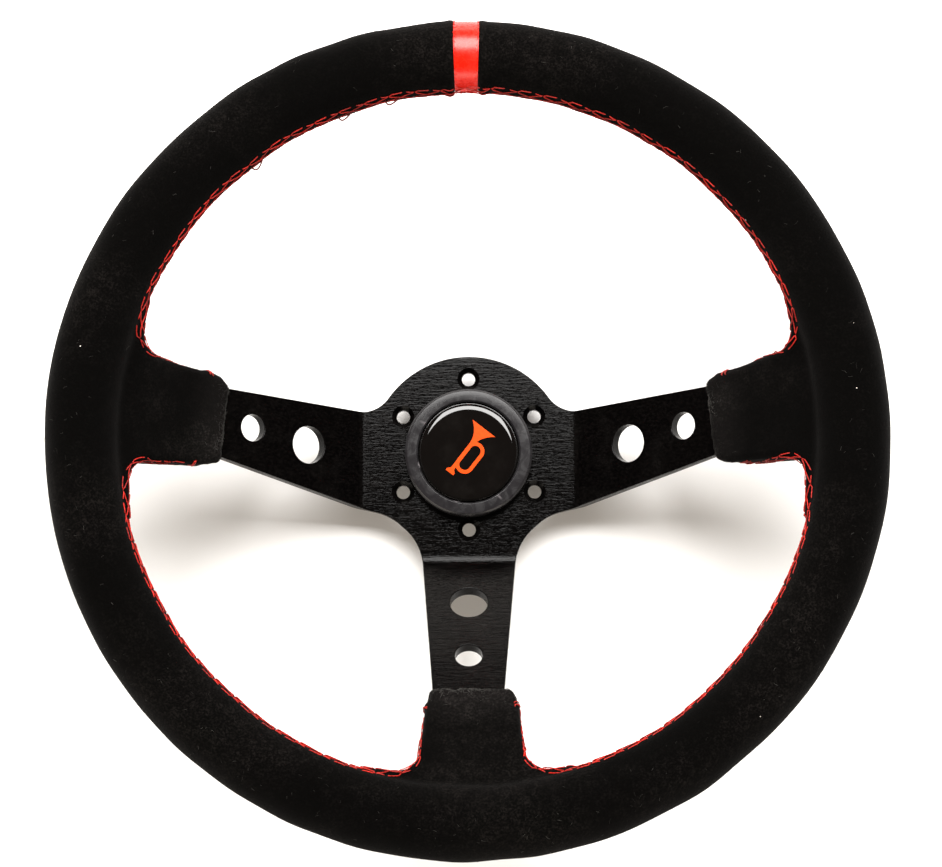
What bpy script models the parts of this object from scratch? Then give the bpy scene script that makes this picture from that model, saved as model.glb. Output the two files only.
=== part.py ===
"""Deep-dish sports steering wheel with a suede rim, lying face up on its horn housing.

+Z points at the driver, +Y at 12 o'clock and +X to the driver's right. The origin is under the
middle of the wheel, on the surface that the horn housing rests on.
"""
import math

import bmesh
import bpy
from mathutils import Matrix, Vector

MM = 0.001
GAP = 0.3 * MM

# Rim: a core ring inside a foam grip, covered in suede
OUTER_DIAMETER = 350.0 * MM
GRIP_DIAMETER = 30.4 * MM
COVER_THICKNESS = 1.2 * MM
CORE_DIAMETER = 10.0 * MM
BAND_WIDTH = 10.9 * MM
THREAD_DIAMETER = 0.9 * MM

# Spoke plate
DISH = 89.0 * MM
PLATE_THICKNESS = 5.0 * MM
HUB_DIAMETER = 91.0 * MM
BEND_REACH = 50.0 * MM
BEND_RADIUS = 9.5 * MM
UPPER_FILLET = 15.0 * MM
LOWER_FILLET = 24.0 * MM
BORE_DIAMETER = 54.4 * MM
BOLT_CIRCLE = 70.0 * MM
BOLT_HOLE = 6.2 * MM
BOLT_SINK = 10.3 * MM
LARGE_HOLE = 17.0 * MM
SMALL_HOLE = 12.0 * MM

# Spoke ends, measured inwards along the spoke from the rim's centre line
SPOKE_END = 24.0 * MM
WING_LENGTH = 68.5 * MM
MOUTH_HALF = 5.5 * MM
ROOT_HALF = 10.0 * MM
LUG_THICKNESS = 2.0 * MM
LUG_WIDTH = 20.0 * MM
RIVET_PLACES = (40.0 * MM, 30.0 * MM)
RIVET_DIAMETER = 4.6 * MM

# Horn button, around the wheel's axis
HOUSING_DEPTH = 15.0 * MM
HORN_TRAVEL = 2.5 * MM
BEZEL_DIAMETER = 58.0 * MM
CAP_DIAMETER = 45.2 * MM
SCREW_CIRCLE = 48.6 * MM

# Facets
RIM_STEPS = 48
GRIP_STEPS = 10
CORE_STEPS = 6
TURN_STEPS = 28
SMALL_STEPS = 12
ARC_STEP = math.radians(15)
COARSE_STEP = math.radians(30)

# Derived levels and radii
RIM_RADIUS = (OUTER_DIAMETER - GRIP_DIAMETER) / 2
REAR_Z = HOUSING_DEPTH
FRONT_Z = REAR_Z + PLATE_THICKNESS
PLATE_Z = (REAR_Z + FRONT_Z) / 2
RIM_Z = PLATE_Z + DISH
SLOPE = math.atan2(DISH, RIM_RADIUS - BEND_REACH)
SLOPE_LENGTH = math.hypot(DISH, RIM_RADIUS - BEND_REACH)
BEND_TANGENT = BEND_RADIUS * math.tan(SLOPE / 2)
BEND_START = BEND_REACH - BEND_TANGENT
BEND_ARC = BEND_RADIUS * SLOPE

# Each spoke: its direction across the hub and the direction of its width
SPOKES = {
    "right": (Vector((1, 0, 0)), Vector((0, 1, 0))),
    "left": (Vector((-1, 0, 0)), Vector((0, 1, 0))),
    "bottom": (Vector((0, -1, 0)), Vector((1, 0, 0))),
}

bpy.ops.object.select_all(action="DESELECT")
for old in list(bpy.data.objects):
    bpy.data.objects.remove(old)
PARTS = bpy.data.collections.new("steering_wheel")
CUTTERS = bpy.data.collections.new("cutters")
bpy.context.scene.collection.children.link(PARTS)
bpy.context.scene.collection.children.link(CUTTERS)


# ---------------------------------------------------------------- materials


def material(name, colour, roughness, metallic=0.0):
    """A plain Principled material."""
    made = bpy.data.materials.new(name)
    made.use_nodes = True
    shader = made.node_tree.nodes["Principled BSDF"]
    shader.inputs["Base Color"].default_value = (*colour, 1)
    shader.inputs["Roughness"].default_value = roughness
    shader.inputs["Metallic"].default_value = metallic
    return made


SUEDE = material("black_suede", (0.012, 0.012, 0.013), 0.95)
LEATHER = material("red_leather", (0.75, 0.045, 0.02), 0.4)
THREAD = material("red_thread", (0.6, 0.01, 0.01), 0.7)
ANODISED = material("black_anodised", (0.02, 0.02, 0.022), 0.42, 0.8)
FOAM = material("moulded_foam", (0.05, 0.05, 0.05), 0.9)
ALUMINIUM = material("bare_aluminium", (0.6, 0.6, 0.62), 0.4, 1.0)
STEEL = material("plated_steel", (0.5, 0.5, 0.52), 0.35, 1.0)
SATIN = material("satin_black", (0.03, 0.03, 0.035), 0.45)
GLOSS = material("gloss_black", (0.004, 0.004, 0.004), 0.06)
PLASTIC = material("black_plastic", (0.02, 0.02, 0.02), 0.6)
BRASS = material("brass", (0.75, 0.5, 0.18), 0.3, 1.0)


# ---------------------------------------------------------------- makers


def link(name, data, collection, finish=None):
    """Put a mesh or curve in a collection as a named object."""
    obj = bpy.data.objects.new(name, data)
    collection.objects.link(obj)
    if finish:
        data.materials.append(finish)
    if collection is CUTTERS:
        obj.hide_render = True
        obj.display_type = "WIRE"
    return obj


def settle(obj):
    """Replace an object by the welded mesh of its evaluated self, and return it."""
    graph = bpy.context.evaluated_depsgraph_get()
    mesh = bpy.data.meshes.new_from_object(obj.evaluated_get(graph))
    work = bmesh.new()
    work.from_mesh(mesh)
    bmesh.ops.remove_doubles(work, verts=work.verts, dist=1e-6)
    work.to_mesh(mesh)
    work.free()
    name = obj.name
    collection = obj.users_collection[0]
    place = obj.matrix_world.copy()
    bpy.data.objects.remove(obj)
    made = link(name, mesh, collection)
    made.matrix_world = place
    return made


def combine(target, tool, operation):
    """Join, cut or intersect a mesh object with another, which is used up."""
    modifier = target.modifiers.new(operation.lower(), "BOOLEAN")
    modifier.operation = operation
    modifier.solver = "EXACT"
    modifier.object = tool
    made = settle(target)
    bpy.data.objects.remove(tool)
    return made


def smooth(obj, angle=30):
    """Shade a piece smooth, with sharp edges kept."""
    obj.data.shade_smooth()
    obj.data.set_sharp_from_angle(angle=math.radians(angle))
    return obj


def arc(centre, radius, start, end, facet=ARC_STEP):
    """Points of an arc between two angles, both ends included."""
    steps = max(2, math.ceil(abs(end - start) / facet))
    angles = [start + (end - start) * step / steps for step in range(steps + 1)]
    return [(centre[0] + radius * math.cos(a), centre[1] + radius * math.sin(a)) for a in angles]


def circle(centre, diameter):
    """Points of a whole circle, with fewer on a small one."""
    facet = COARSE_STEP if diameter < 8 * MM else ARC_STEP
    return arc(centre, diameter / 2, 0, 2 * math.pi, facet)[:-1]


def rounded(corners, facet):
    """Outline of a polygon of (x, y, radius) corners, each rounded by its own radius."""
    points = []
    for index, (x, y, radius) in enumerate(corners):
        here = Vector((x, y))
        if radius == 0:
            points.append((x, y))
            continue
        before = (Vector(corners[index - 1][:2]) - here).normalized()
        after = (Vector(corners[(index + 1) % len(corners)][:2]) - here).normalized()
        half = before.angle(after) / 2
        centre = here + (before + after).normalized() * radius / math.sin(half)
        first = here + before * radius / math.tan(half) - centre
        last = here + after * radius / math.tan(half) - centre
        start = math.atan2(first.y, first.x)
        turn = (math.atan2(last.y, last.x) - start + math.pi) % (2 * math.pi) - math.pi
        points += arc(centre, radius, start, start + turn, facet)
    return points


def flat_plate(name, outlines, thickness, collection, finish=None, edge=0.0):
    """Extrude outlines in XY to a plate centred on z = 0; later outlines are holes."""
    curve = bpy.data.curves.new(name, "CURVE")
    curve.dimensions = "2D"
    curve.fill_mode = "BOTH"
    curve.extrude = thickness / 2 - edge
    curve.bevel_depth = edge
    curve.bevel_resolution = 0
    curve.offset = -edge
    for outline in outlines:
        spline = curve.splines.new("POLY")
        spline.points.add(len(outline) - 1)
        spline.use_cyclic_u = True
        for point, (x, y) in zip(spline.points, outline):
            point.co = (x, y, 0, 1)
    return settle(link(name, curve, collection, finish))


def turned(name, profile, finish, steps=TURN_STEPS, closed=True, collection=PARTS, floor=0.0):
    """Turn a profile of (radius, height) points, listed down its outer side, about the Z axis."""
    mesh = bpy.data.meshes.new(name)
    count = len(profile)
    edges = [(i, (i + 1) % count) for i in range(count if closed else count - 1)]
    mesh.from_pydata([(r, 0, z + floor) for r, z in profile], edges, [])
    obj = link(name, mesh, collection, finish)
    screw = obj.modifiers.new("turn", "SCREW")
    screw.steps = steps
    screw.render_steps = steps
    screw.use_merge_vertices = True
    screw.merge_threshold = 0.00001
    return smooth(settle(obj))


def ring(name, minor, steps, collection, finish=None):
    """A torus on the rim's centre line."""
    bpy.ops.mesh.primitive_torus_add(
        major_radius=RIM_RADIUS, minor_radius=minor, major_segments=RIM_STEPS, minor_segments=steps
    )
    obj = bpy.context.object
    obj.data.transform(Matrix.Translation((0, 0, RIM_Z)))
    mesh = obj.data
    bpy.data.objects.remove(obj)
    return link(name, mesh, collection, finish)


def block(name, low, high, collection, finish=None):
    """A box between two corners."""
    work = bmesh.new()
    bmesh.ops.create_cube(work, size=1)
    size = Vector(high) - Vector(low)
    middle = (Vector(high) + Vector(low)) / 2
    bmesh.ops.scale(work, vec=size, verts=work.verts)
    bmesh.ops.translate(work, vec=middle, verts=work.verts)
    mesh = bpy.data.meshes.new(name)
    work.to_mesh(mesh)
    work.free()
    return link(name, mesh, collection, finish)


def rod(name, radius, low, high, collection, finish=None, steps=SMALL_STEPS, radius_top=None):
    """A cylinder or cone between two points."""
    axis = Vector(high) - Vector(low)
    work = bmesh.new()
    bmesh.ops.create_cone(
        work,
        cap_ends=True,
        segments=steps,
        radius1=radius,
        radius2=radius if radius_top is None else radius_top,
        depth=axis.length,
    )
    mesh = bpy.data.meshes.new(name)
    work.to_mesh(mesh)
    work.free()
    turn = axis.to_track_quat("Z", "Y").to_matrix().to_4x4()
    mesh.transform(Matrix.Translation((Vector(high) + Vector(low)) / 2) @ turn)
    return link(name, mesh, collection, finish)


# ---------------------------------------------------------------- spoke geometry


def spoke_point(side, s, w, n):
    """World point from a spoke's own frame: s outwards along the slope from the rim's centre line,
    w across the spoke and n off the plate's mid-plane, towards the driver."""
    out, across = SPOKES[side]
    up = Vector((0, 0, 1))
    along = out * math.cos(SLOPE) + up * math.sin(SLOPE)
    normal = up * math.cos(SLOPE) - out * math.sin(SLOPE)
    return out * RIM_RADIUS + up * RIM_Z + along * s + across * w + normal * n


def to_spoke(obj, side, shape=None):
    """Move a mesh modelled in a spoke's frame to its place, through an optional reshaping."""
    for vertex in obj.data.vertices:
        s, w, n = shape(*vertex.co) if shape else vertex.co
        vertex.co = spoke_point(side, s, w, n)
    if side == "left":
        obj.data.flip_normals()
    return obj


def edge_width(side, s):
    """Lower and upper edge of a spoke's plate at a place along it."""
    run = (s + SLOPE_LENGTH) / (SLOPE_LENGTH - WING_LENGTH)
    if side == "bottom":
        half = (21.4 + (15.7 - 21.4) * run) * MM
        return -half, half
    return (-25.2 + (-7.1 + 25.2) * run) * MM, (19.8 + (24.3 - 19.8) * run) * MM


def spoke_middle(side, s):
    """Middle of a spoke's width at a place along it."""
    return sum(edge_width(side, s)) / 2


def flat_run(s):
    """Distance from the wheel's axis, in the flat blank, of a place along a spoke's slope."""
    return BEND_START + BEND_ARC + s + SLOPE_LENGTH - BEND_TANGENT


def bent(point):
    """Where a point of the flat blank lies once its spoke is bent up."""
    for out, _ in SPOKES.values():
        run = point.dot(out)
        if run <= BEND_START:
            continue
        turn = min((run - BEND_START) / BEND_RADIUS, SLOPE)
        rest = max(0.0, run - BEND_START - BEND_ARC)
        reach = BEND_RADIUS - point.z
        across = point - out * run
        across.z = 0
        radial = BEND_START + reach * math.sin(turn) + rest * math.cos(turn)
        height = BEND_RADIUS - reach * math.cos(turn) + rest * math.sin(turn)
        return across + out * radial + Vector((0, 0, height))
    return point


# ---------------------------------------------------------------- spoke plate


def fillet(point, direction, outward, radius):
    """Centre of the hollow fillet between the hub disc and a straight spoke edge."""
    offset = point.dot(outward) + radius
    reach = math.sqrt((HUB_DIAMETER / 2 + radius) ** 2 - offset**2)
    return outward * offset + direction * reach


def blank_edge(side, upper):
    """Start, end, direction and outward normal of one edge of a spoke in the flat blank."""
    out, across = (vector.to_2d() for vector in SPOKES[side])
    ends = []
    for s in (-SLOPE_LENGTH, -SPOKE_END):
        ends.append(out * flat_run(s) + across * edge_width(side, s)[1 if upper else 0])
    direction = (ends[1] - ends[0]).normalized()
    outward = (across if upper else -across).copy()
    outward = (outward - direction * outward.dot(direction)).normalized()
    return ends[0], ends[1], direction, outward


def plate_outline():
    """Outline of the flat blank: the half at +X, then its mirror image."""
    hub = HUB_DIAMETER / 2
    half = []
    previous = math.radians(90)
    edges = (("right", True, UPPER_FILLET), ("right", False, LOWER_FILLET), ("bottom", True, LOWER_FILLET))
    for side, upper, radius in edges:
        start, end, direction, outward = blank_edge(side, upper)
        centre = fillet(start, direction, outward, radius)
        touch_hub = math.atan2(centre.y, centre.x)
        back_to_hub = math.atan2(-centre.y, -centre.x)
        to_edge = math.atan2(-outward.y, -outward.x)
        turn = (to_edge - back_to_hub + math.pi) % (2 * math.pi) - math.pi
        corner = arc(centre, radius, back_to_hub, back_to_hub + turn)
        if (side, upper) == ("right", False):
            half += [tuple(end)] + corner[::-1]
            previous = touch_hub
        else:
            half += arc((0, 0), hub, previous, touch_hub)[:-1] + corner + [tuple(end)]
    return half + [(-x, y) for x, y in reversed(half)]


def spoke_holes():
    """Lightening and rivet holes of the flat blank."""
    places = {
        "right": ((111.0, 2.4, LARGE_HOLE), (81.4, 7.9, SMALL_HOLE)),
        "bottom": ((115.2, 0.0, LARGE_HOLE), (84.8, 0.0, SMALL_HOLE)),
    }
    places["left"] = places["right"]
    holes = []
    for side, (out, across) in SPOKES.items():
        rivets = [(-s, spoke_middle(side, -s), RIVET_DIAMETER + 2 * GAP) for s in RIVET_PLACES]
        for s, w, size in [(-s * MM, w * MM, size) for s, w, size in places[side]] + rivets:
            holes.append(circle(out * flat_run(s) + across * w, size))
    return holes


def make_spoke_plate():
    """The blank with its holes, countersunk and then bent."""
    bore = circle((0, 0), BORE_DIAMETER)
    bolts = []
    for index in range(6):
        angle = math.radians(30 + 60 * index)
        bolts.append(Vector((math.cos(angle), math.sin(angle))) * BOLT_CIRCLE / 2)
    holes = [circle(bolt, BOLT_HOLE) for bolt in bolts]
    outlines = [plate_outline(), bore] + holes + spoke_holes()
    plate = flat_plate("spoke_plate", outlines, PLATE_THICKNESS, PARTS, ANODISED)
    top = PLATE_THICKNESS / 2
    over = 0.2 * MM
    depth = 3.0 * MM
    for bolt in bolts:
        low = Vector((bolt.x, bolt.y, top - depth))
        high = Vector((bolt.x, bolt.y, top + over))
        wide = BOLT_SINK / 2 + over
        sink = rod("sink", wide - depth - over, low, high, CUTTERS, radius_top=wide)
        plate = combine(plate, sink, "DIFFERENCE")
    work = bmesh.new()
    work.from_mesh(plate.data)
    lines = 4
    for out, _ in SPOKES.values():
        for line in range(lines + 1):
            place = out * (BEND_START + BEND_ARC * line / lines)
            cells = work.verts[:] + work.edges[:] + work.faces[:]
            bmesh.ops.bisect_plane(work, geom=cells, dist=1e-7, plane_co=place, plane_no=out)
    for vertex in work.verts:
        vertex.co = bent(vertex.co) + Vector((0, 0, PLATE_Z))
    work.to_mesh(plate.data)
    work.free()
    return smooth(plate)


# ---------------------------------------------------------------- rim and wings


def wing_corners(side, inset, mouth):
    """Outline of a wing over a spoke end, in the spoke's frame, as corners for rounded()."""
    if side == "bottom":
        upper = [(-65.0, 17.3, 2.5), (-56.5, 21.0, 8), (-41.0, 21.5, 20), (-19.0, 24.5, 14)]
        lower = [(s, -w, radius) for s, w, radius in reversed(upper)]
        flare = (44.0, -44.0)
    else:
        upper = [(-66.3, 26.3, 2.5), (-57.0, 29.7, 10), (-19.0, 37.6, 13)]
        lower = [(-19.0, -10.6, 13), (-54.0, -9.6, 8), (-62.0, -7.3, 2.5)]
        flare = (56.0, -36.0)
    root = -GRIP_DIAMETER / 2 + inset
    inside = -4.0 * MM
    corners = []
    for s, w, radius in upper:
        corners.append((s * MM, w * MM - inset, radius * MM))
    corners.append((root, flare[0] * MM, 0))
    corners.append((inside, flare[0] * MM, 0))
    corners.append((inside, flare[1] * MM, 0))
    corners.append((root, flare[1] * MM, 0))
    for s, w, radius in lower:
        corners.append((s * MM, w * MM + inset, radius * MM))
    for index in (0, -1):
        s, w, radius = corners[index]
        corners[index] = (s + mouth, w, radius)
    return corners


def wing_shape(inset):
    """Reshaping of a wing: it thickens towards the grip, and follows the curve of the rim."""

    def shape(s, w, n):
        rise = min(1.0, max(0.0, (s + WING_LENGTH) / (WING_LENGTH - 20 * MM)))
        follow = min(1.0, max(0.0, (s + 50 * MM) / (35 * MM)))
        follow = follow * follow * (3 - 2 * follow)
        sag = (RIM_RADIUS - math.sqrt(RIM_RADIUS**2 - w * w)) * follow
        half = MOUTH_HALF + (ROOT_HALF - MOUTH_HALF) * rise - inset
        n = n * half / (MOUTH_HALF - inset) - 1.0 * MM * rise
        return s - sag * math.cos(SLOPE), w, n + sag * math.sin(SLOPE)

    return shape


def wing(side, inset, mouth, collection):
    """One wing, as a closed solid whose inner end is lost in the grip. The outside is the finer one."""
    corners = wing_corners(side, inset, mouth)
    outside = inset == 0
    edge = 1.6 * MM if outside else 0.0
    outline = rounded(corners, ARC_STEP if outside else COARSE_STEP)
    solid = flat_plate("wing", [outline], 2 * (MOUTH_HALF - inset), collection, edge=edge)
    work = bmesh.new()
    work.from_mesh(solid.data)
    along = (50, 40, 31, 22, 14) if outside else (50, 34, 22)
    across = (-24, 24, 36, 46) if outside else (-24, 24, 40)
    cuts = [(Vector((-s * MM, 0, 0)), Vector((1, 0, 0))) for s in along]
    cuts += [(Vector((0, w * MM, 0)), Vector((0, 1, 0))) for w in across]
    for place, normal in cuts:
        cells = work.verts[:] + work.edges[:] + work.faces[:]
        bmesh.ops.bisect_plane(work, geom=cells, dist=1e-7, plane_co=place, plane_no=normal)
    work.to_mesh(solid.data)
    work.free()
    return to_spoke(solid, side, wing_shape(inset))


def rim_body(name, inset, mouth, collection, finish=None):
    """The round grip joined with its three wings, shrunk by an inset."""
    body = ring(name, GRIP_DIAMETER / 2 - inset, GRIP_STEPS, collection, finish)
    for side in SPOKES:
        body = combine(body, wing(side, inset, mouth, CUTTERS), "UNION")
    return body


def spoke_slot(side):
    """Room for a spoke's plate inside its wing."""
    end = -SPOKE_END + GAP
    start = -WING_LENGTH - 8 * MM
    low_start, high_start = edge_width(side, start)
    low_end, high_end = edge_width(side, end)
    outline = [
        (start, low_start - GAP),
        (end, low_end - GAP),
        (end, high_end + GAP),
        (start, high_start + GAP),
    ]
    slot = flat_plate("slot", [outline], PLATE_THICKNESS + 2 * GAP, CUTTERS)
    return to_spoke(slot, side)


def lug(name, side, grow, collection, finish=None):
    """Tab from the core ring to under the spoke's end; grow makes its cutter."""
    top = -PLATE_THICKNESS / 2 - GAP
    middle = spoke_middle(side, -RIVET_PLACES[1])
    low = (-RIVET_PLACES[0] - 6 * MM - grow, middle - LUG_WIDTH / 2 - grow, top - LUG_THICKNESS - grow)
    high = (-3.0 * MM + grow, middle + LUG_WIDTH / 2 + grow, top + grow)
    return to_spoke(block(name, low, high, collection, finish), side)


def rivet_axis(side, place):
    """Ends of a rivet's axis through the lug and the plate: its rear and its front."""
    w = spoke_middle(side, -place)
    rear = -PLATE_THICKNESS / 2 - 2 * GAP - LUG_THICKNESS
    front = PLATE_THICKNESS / 2 + GAP
    return spoke_point(side, -place, w, rear), spoke_point(side, -place, w, front)


def rivet(name, side, place):
    """A button-head rivet."""
    rear, front = rivet_axis(side, place)
    length = (front - rear).length
    shank = RIVET_DIAMETER / 2
    head = shank + 1.6 * MM
    dome = 1.0 * MM
    profile = [(0, length + dome), (head * 0.7, length + dome * 0.7), (head, length), (shank, length)]
    profile += [(shank, 0), (head, 0), (head * 0.7, -dome * 0.7), (0, -dome)]
    made = turned(name, profile, ALUMINIUM, SMALL_STEPS, closed=False)
    turn = (front - rear).to_track_quat("Z", "Y").to_matrix().to_4x4()
    made.data.transform(Matrix.Translation(rear) @ turn)
    return made


def core_room():
    """Room round the core ring, which also copes the ends of the lugs."""
    return ring("core_room", CORE_DIAMETER / 2 + GAP, CORE_STEPS, CUTTERS)


def make_rim():
    """Core ring, lugs, rivets, foam, suede cover and the centre band."""
    smooth(ring("rim_ring", CORE_DIAMETER / 2, CORE_STEPS, PARTS, ALUMINIUM))
    foam = rim_body("rim_foam", COVER_THICKNESS + 2 * GAP, 3 * MM + 2 * GAP, PARTS, FOAM)
    foam = combine(foam, core_room(), "DIFFERENCE")
    cover = rim_body("suede_cover", 0.0, 0.0, PARTS, SUEDE)
    hollow = rim_body("hollow", COVER_THICKNESS, 3 * MM, CUTTERS)
    cover = combine(cover, hollow, "DIFFERENCE")
    for side in SPOKES:
        tab = lug("ring_lug_" + side, side, 0.0, PARTS, ALUMINIUM)
        tab = combine(tab, core_room(), "DIFFERENCE")
        foam = combine(foam, spoke_slot(side), "DIFFERENCE")
        foam = combine(foam, lug("lug_room", side, GAP, CUTTERS), "DIFFERENCE")
        cover = combine(cover, spoke_slot(side), "DIFFERENCE")
        for number, place in enumerate(RIVET_PLACES, 1):
            rivet("spoke_rivet_%s_%d" % (side, number), side, place)
            rear, front = rivet_axis(side, place)
            reach = (front - rear).normalized()
            hole = rod("rivet_hole", RIVET_DIAMETER / 2 + GAP, rear - reach * MM, front, CUTTERS)
            tab = combine(tab, hole, "DIFFERENCE")
            room = RIVET_DIAMETER / 2 + 2.2 * MM
            low = rear - reach * 1.3 * MM
            high = front + reach * 1.3 * MM
            foam = combine(foam, rod("rivet_room", room, low, high, CUTTERS), "DIFFERENCE")
    half_gap = BAND_WIDTH / 2 + GAP
    grip = GRIP_DIAMETER / 2 + 5 * MM
    low = (-half_gap, RIM_RADIUS - grip, RIM_Z - grip)
    high = (half_gap, RIM_RADIUS + grip, RIM_Z + grip)
    cover = combine(cover, block("band_gap", low, high, CUTTERS), "DIFFERENCE")
    smooth(cover)
    smooth(foam)
    band = ring("centre_band", GRIP_DIAMETER / 2, GRIP_STEPS, PARTS, LEATHER)
    inside = ring("inside", GRIP_DIAMETER / 2 - COVER_THICKNESS, GRIP_STEPS, CUTTERS)
    band = combine(band, inside, "DIFFERENCE")
    low = (-BAND_WIDTH / 2, low[1], low[2])
    high = (BAND_WIDTH / 2, high[1], high[2])
    smooth(combine(band, block("slice", low, high, CUTTERS), "INTERSECT"))


def make_seams():
    """A thread along the inner side of the grip in each of the three windows."""
    radius = RIM_RADIUS - GRIP_DIAMETER / 2 - THREAD_DIAMETER / 2 - 2 * GAP
    windows = {"top": (21, 159), "left": (193, 252), "right": (288, 347)}
    for name, (start, end) in windows.items():
        curve = bpy.data.curves.new("seam_thread_" + name, "CURVE")
        curve.dimensions = "3D"
        curve.bevel_depth = THREAD_DIAMETER / 2
        curve.bevel_resolution = 0
        curve.use_fill_caps = True
        steps = round((end - start) / 4)
        spline = curve.splines.new("POLY")
        spline.points.add(steps)
        for step, point in enumerate(spline.points):
            angle = math.radians(start + (end - start) * step / steps)
            point.co = (radius * math.cos(angle), radius * math.sin(angle), RIM_Z, 1)
        smooth(settle(link(curve.name, curve, PARTS, THREAD)), 70)


# ---------------------------------------------------------------- horn button


def millimetres(profile, floor):
    """A profile given in millimetres above a floor level."""
    return [(r * MM, z * MM + floor) for r, z in profile]


def make_horn():
    """Horn button: bezel, moving cap and badge, and the switch behind the plate."""
    bezel = BEZEL_DIAMETER / 2 / MM
    cap = CAP_DIAMETER / 2 / MM
    skirt = BORE_DIAMETER / 2 / MM - 0.5
    profile = [(bezel - 1.0, 8.6), (bezel - 0.2, 7.9), (bezel, 0.3), (skirt, 0.3), (skirt, -6.5)]
    profile += [(skirt - 1.9, -6.5), (skirt - 1.9, 2.8), (cap + 0.6, 2.8), (cap + 0.6, 7.9)]
    profile += [(cap + 1.2, 8.5)]
    turned("horn_bezel", millimetres(profile, FRONT_Z), SATIN)

    profile = [(cap - 0.4, 9.0), (cap, 8.4), (cap, 2.4), (skirt - 2.4, 2.4), (skirt - 2.4, 0.6)]
    profile += [(cap - 2.1, 0.6), (cap - 2.1, 5.7), (0, 5.7)]
    profile = [(0, 8.2), (cap - 1.1, 8.2), (cap - 1.1, 9.0)] + profile
    turned("horn_cap", millimetres(profile, FRONT_Z), GLOSS, closed=False)

    badge = cap - 1.4
    profile = [(0, 11.0), (badge * 0.55, 10.7), (badge * 0.85, 9.9), (badge, 8.9), (badge, 8.5), (0, 8.5)]
    turned("horn_badge", millimetres(profile, FRONT_Z), GLOSS, closed=False)

    collar = 29.3
    wall = 27.0
    ledge = 22.0
    profile = [(collar, 14.7), (collar, 0), (wall, 0), (wall, 10.5), (ledge, 10.5), (ledge, 12.7)]
    profile += [(wall, 12.7), (wall, 14.7)]
    housing = turned("horn_housing", millimetres(profile, 0), PLASTIC)
    profile = [(0, 10.2), (wall - 0.3, 10.2), (wall - 0.3, 7.8), (0, 7.8)]
    base = turned("horn_base", millimetres(profile, 0), PLASTIC, closed=False)
    for number in range(3):
        angle = math.radians(90 + 120 * number)
        spot = Vector((math.cos(angle), math.sin(angle), 0)) * SCREW_CIRCLE / 2
        bottom = spot + Vector((0, 0, 6.0 * MM))
        top = spot + Vector((0, 0, 13.5 * MM))
        housing = combine(housing, rod("thread", 1.55 * MM, bottom, top, CUTTERS), "DIFFERENCE")
        base = combine(base, rod("hole", 1.55 * MM, bottom, top, CUTTERS), "DIFFERENCE")
        profile = [(0, 12.4), (1.25, 12.4), (1.25, 7.5), (2.4, 7.5), (2.4, 6.4), (1.9, 6.0), (0, 6.0)]
        name = "base_screw_%d" % (number + 1)
        screw = turned(name, millimetres(profile, 0), STEEL, SMALL_STEPS, closed=False)
        screw.data.transform(Matrix.Translation(spot))

    profile = [(16.0, 5.4), (16.0, 4.4), (3.0, 4.4), (3.0, 5.4)]
    turned("moving_contact", millimetres(profile, FRONT_Z), BRASS, 24)
    touch = (FRONT_Z - HORN_TRAVEL) / MM + 4.0
    profile = [(10.4, touch), (10.4, 11.4), (13.0, 11.4), (13.0, 10.5), (9.5, 10.5), (9.5, touch)]
    turned("fixed_contact", millimetres(profile, 0), BRASS, 24)
    half_width = 3.15 * MM
    half_foot = 4.0 * MM
    half_sheet = 0.4 * MM
    for name, x in (("live", 12.0 * MM), ("earth", -12.0 * MM)):
        low = (x - half_foot, -half_width, 6.7 * MM)
        high = (x + half_foot, half_width, 7.5 * MM)
        foot = block("spade_terminal_" + name, low, high, PARTS, BRASS)
        low = (x - half_sheet, -half_width, 0.8 * MM)
        high = (x + half_sheet, half_width, 7.0 * MM)
        combine(foot, block("blade", low, high, CUTTERS), "UNION")


def make_spring():
    """Return spring between the base and the moving contact."""
    low = 10.5 * MM
    high = FRONT_Z + 4.1 * MM
    wire = 1.0 * MM
    coil = 6.5 * MM
    turns = 4.5
    per_turn = 10
    curve = bpy.data.curves.new("horn_spring", "CURVE")
    curve.dimensions = "3D"
    curve.bevel_depth = wire / 2
    curve.bevel_resolution = 0
    curve.use_fill_caps = True
    steps = round(turns * per_turn)
    spline = curve.splines.new("POLY")
    spline.points.add(steps)
    for step, point in enumerate(spline.points):
        angle = 2 * math.pi * step / per_turn
        height = low + wire / 2 + (high - low - wire) * step / steps
        point.co = (coil * math.cos(angle), coil * math.sin(angle), height, 1)
    smooth(settle(link(curve.name, curve, PARTS, STEEL)), 70)


make_spoke_plate()
make_rim()
make_seams()
make_horn()
make_spring()
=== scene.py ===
"""Looks of a deep-dish sports steering wheel: suede grip, folded spokes and horn button.

Metres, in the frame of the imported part: +Z towards the driver, +Y at 12 o'clock, +X to the right.
"""

import contextlib
import math

import bmesh
import bpy
import numpy as np
from mathutils import Matrix, Vector


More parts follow.
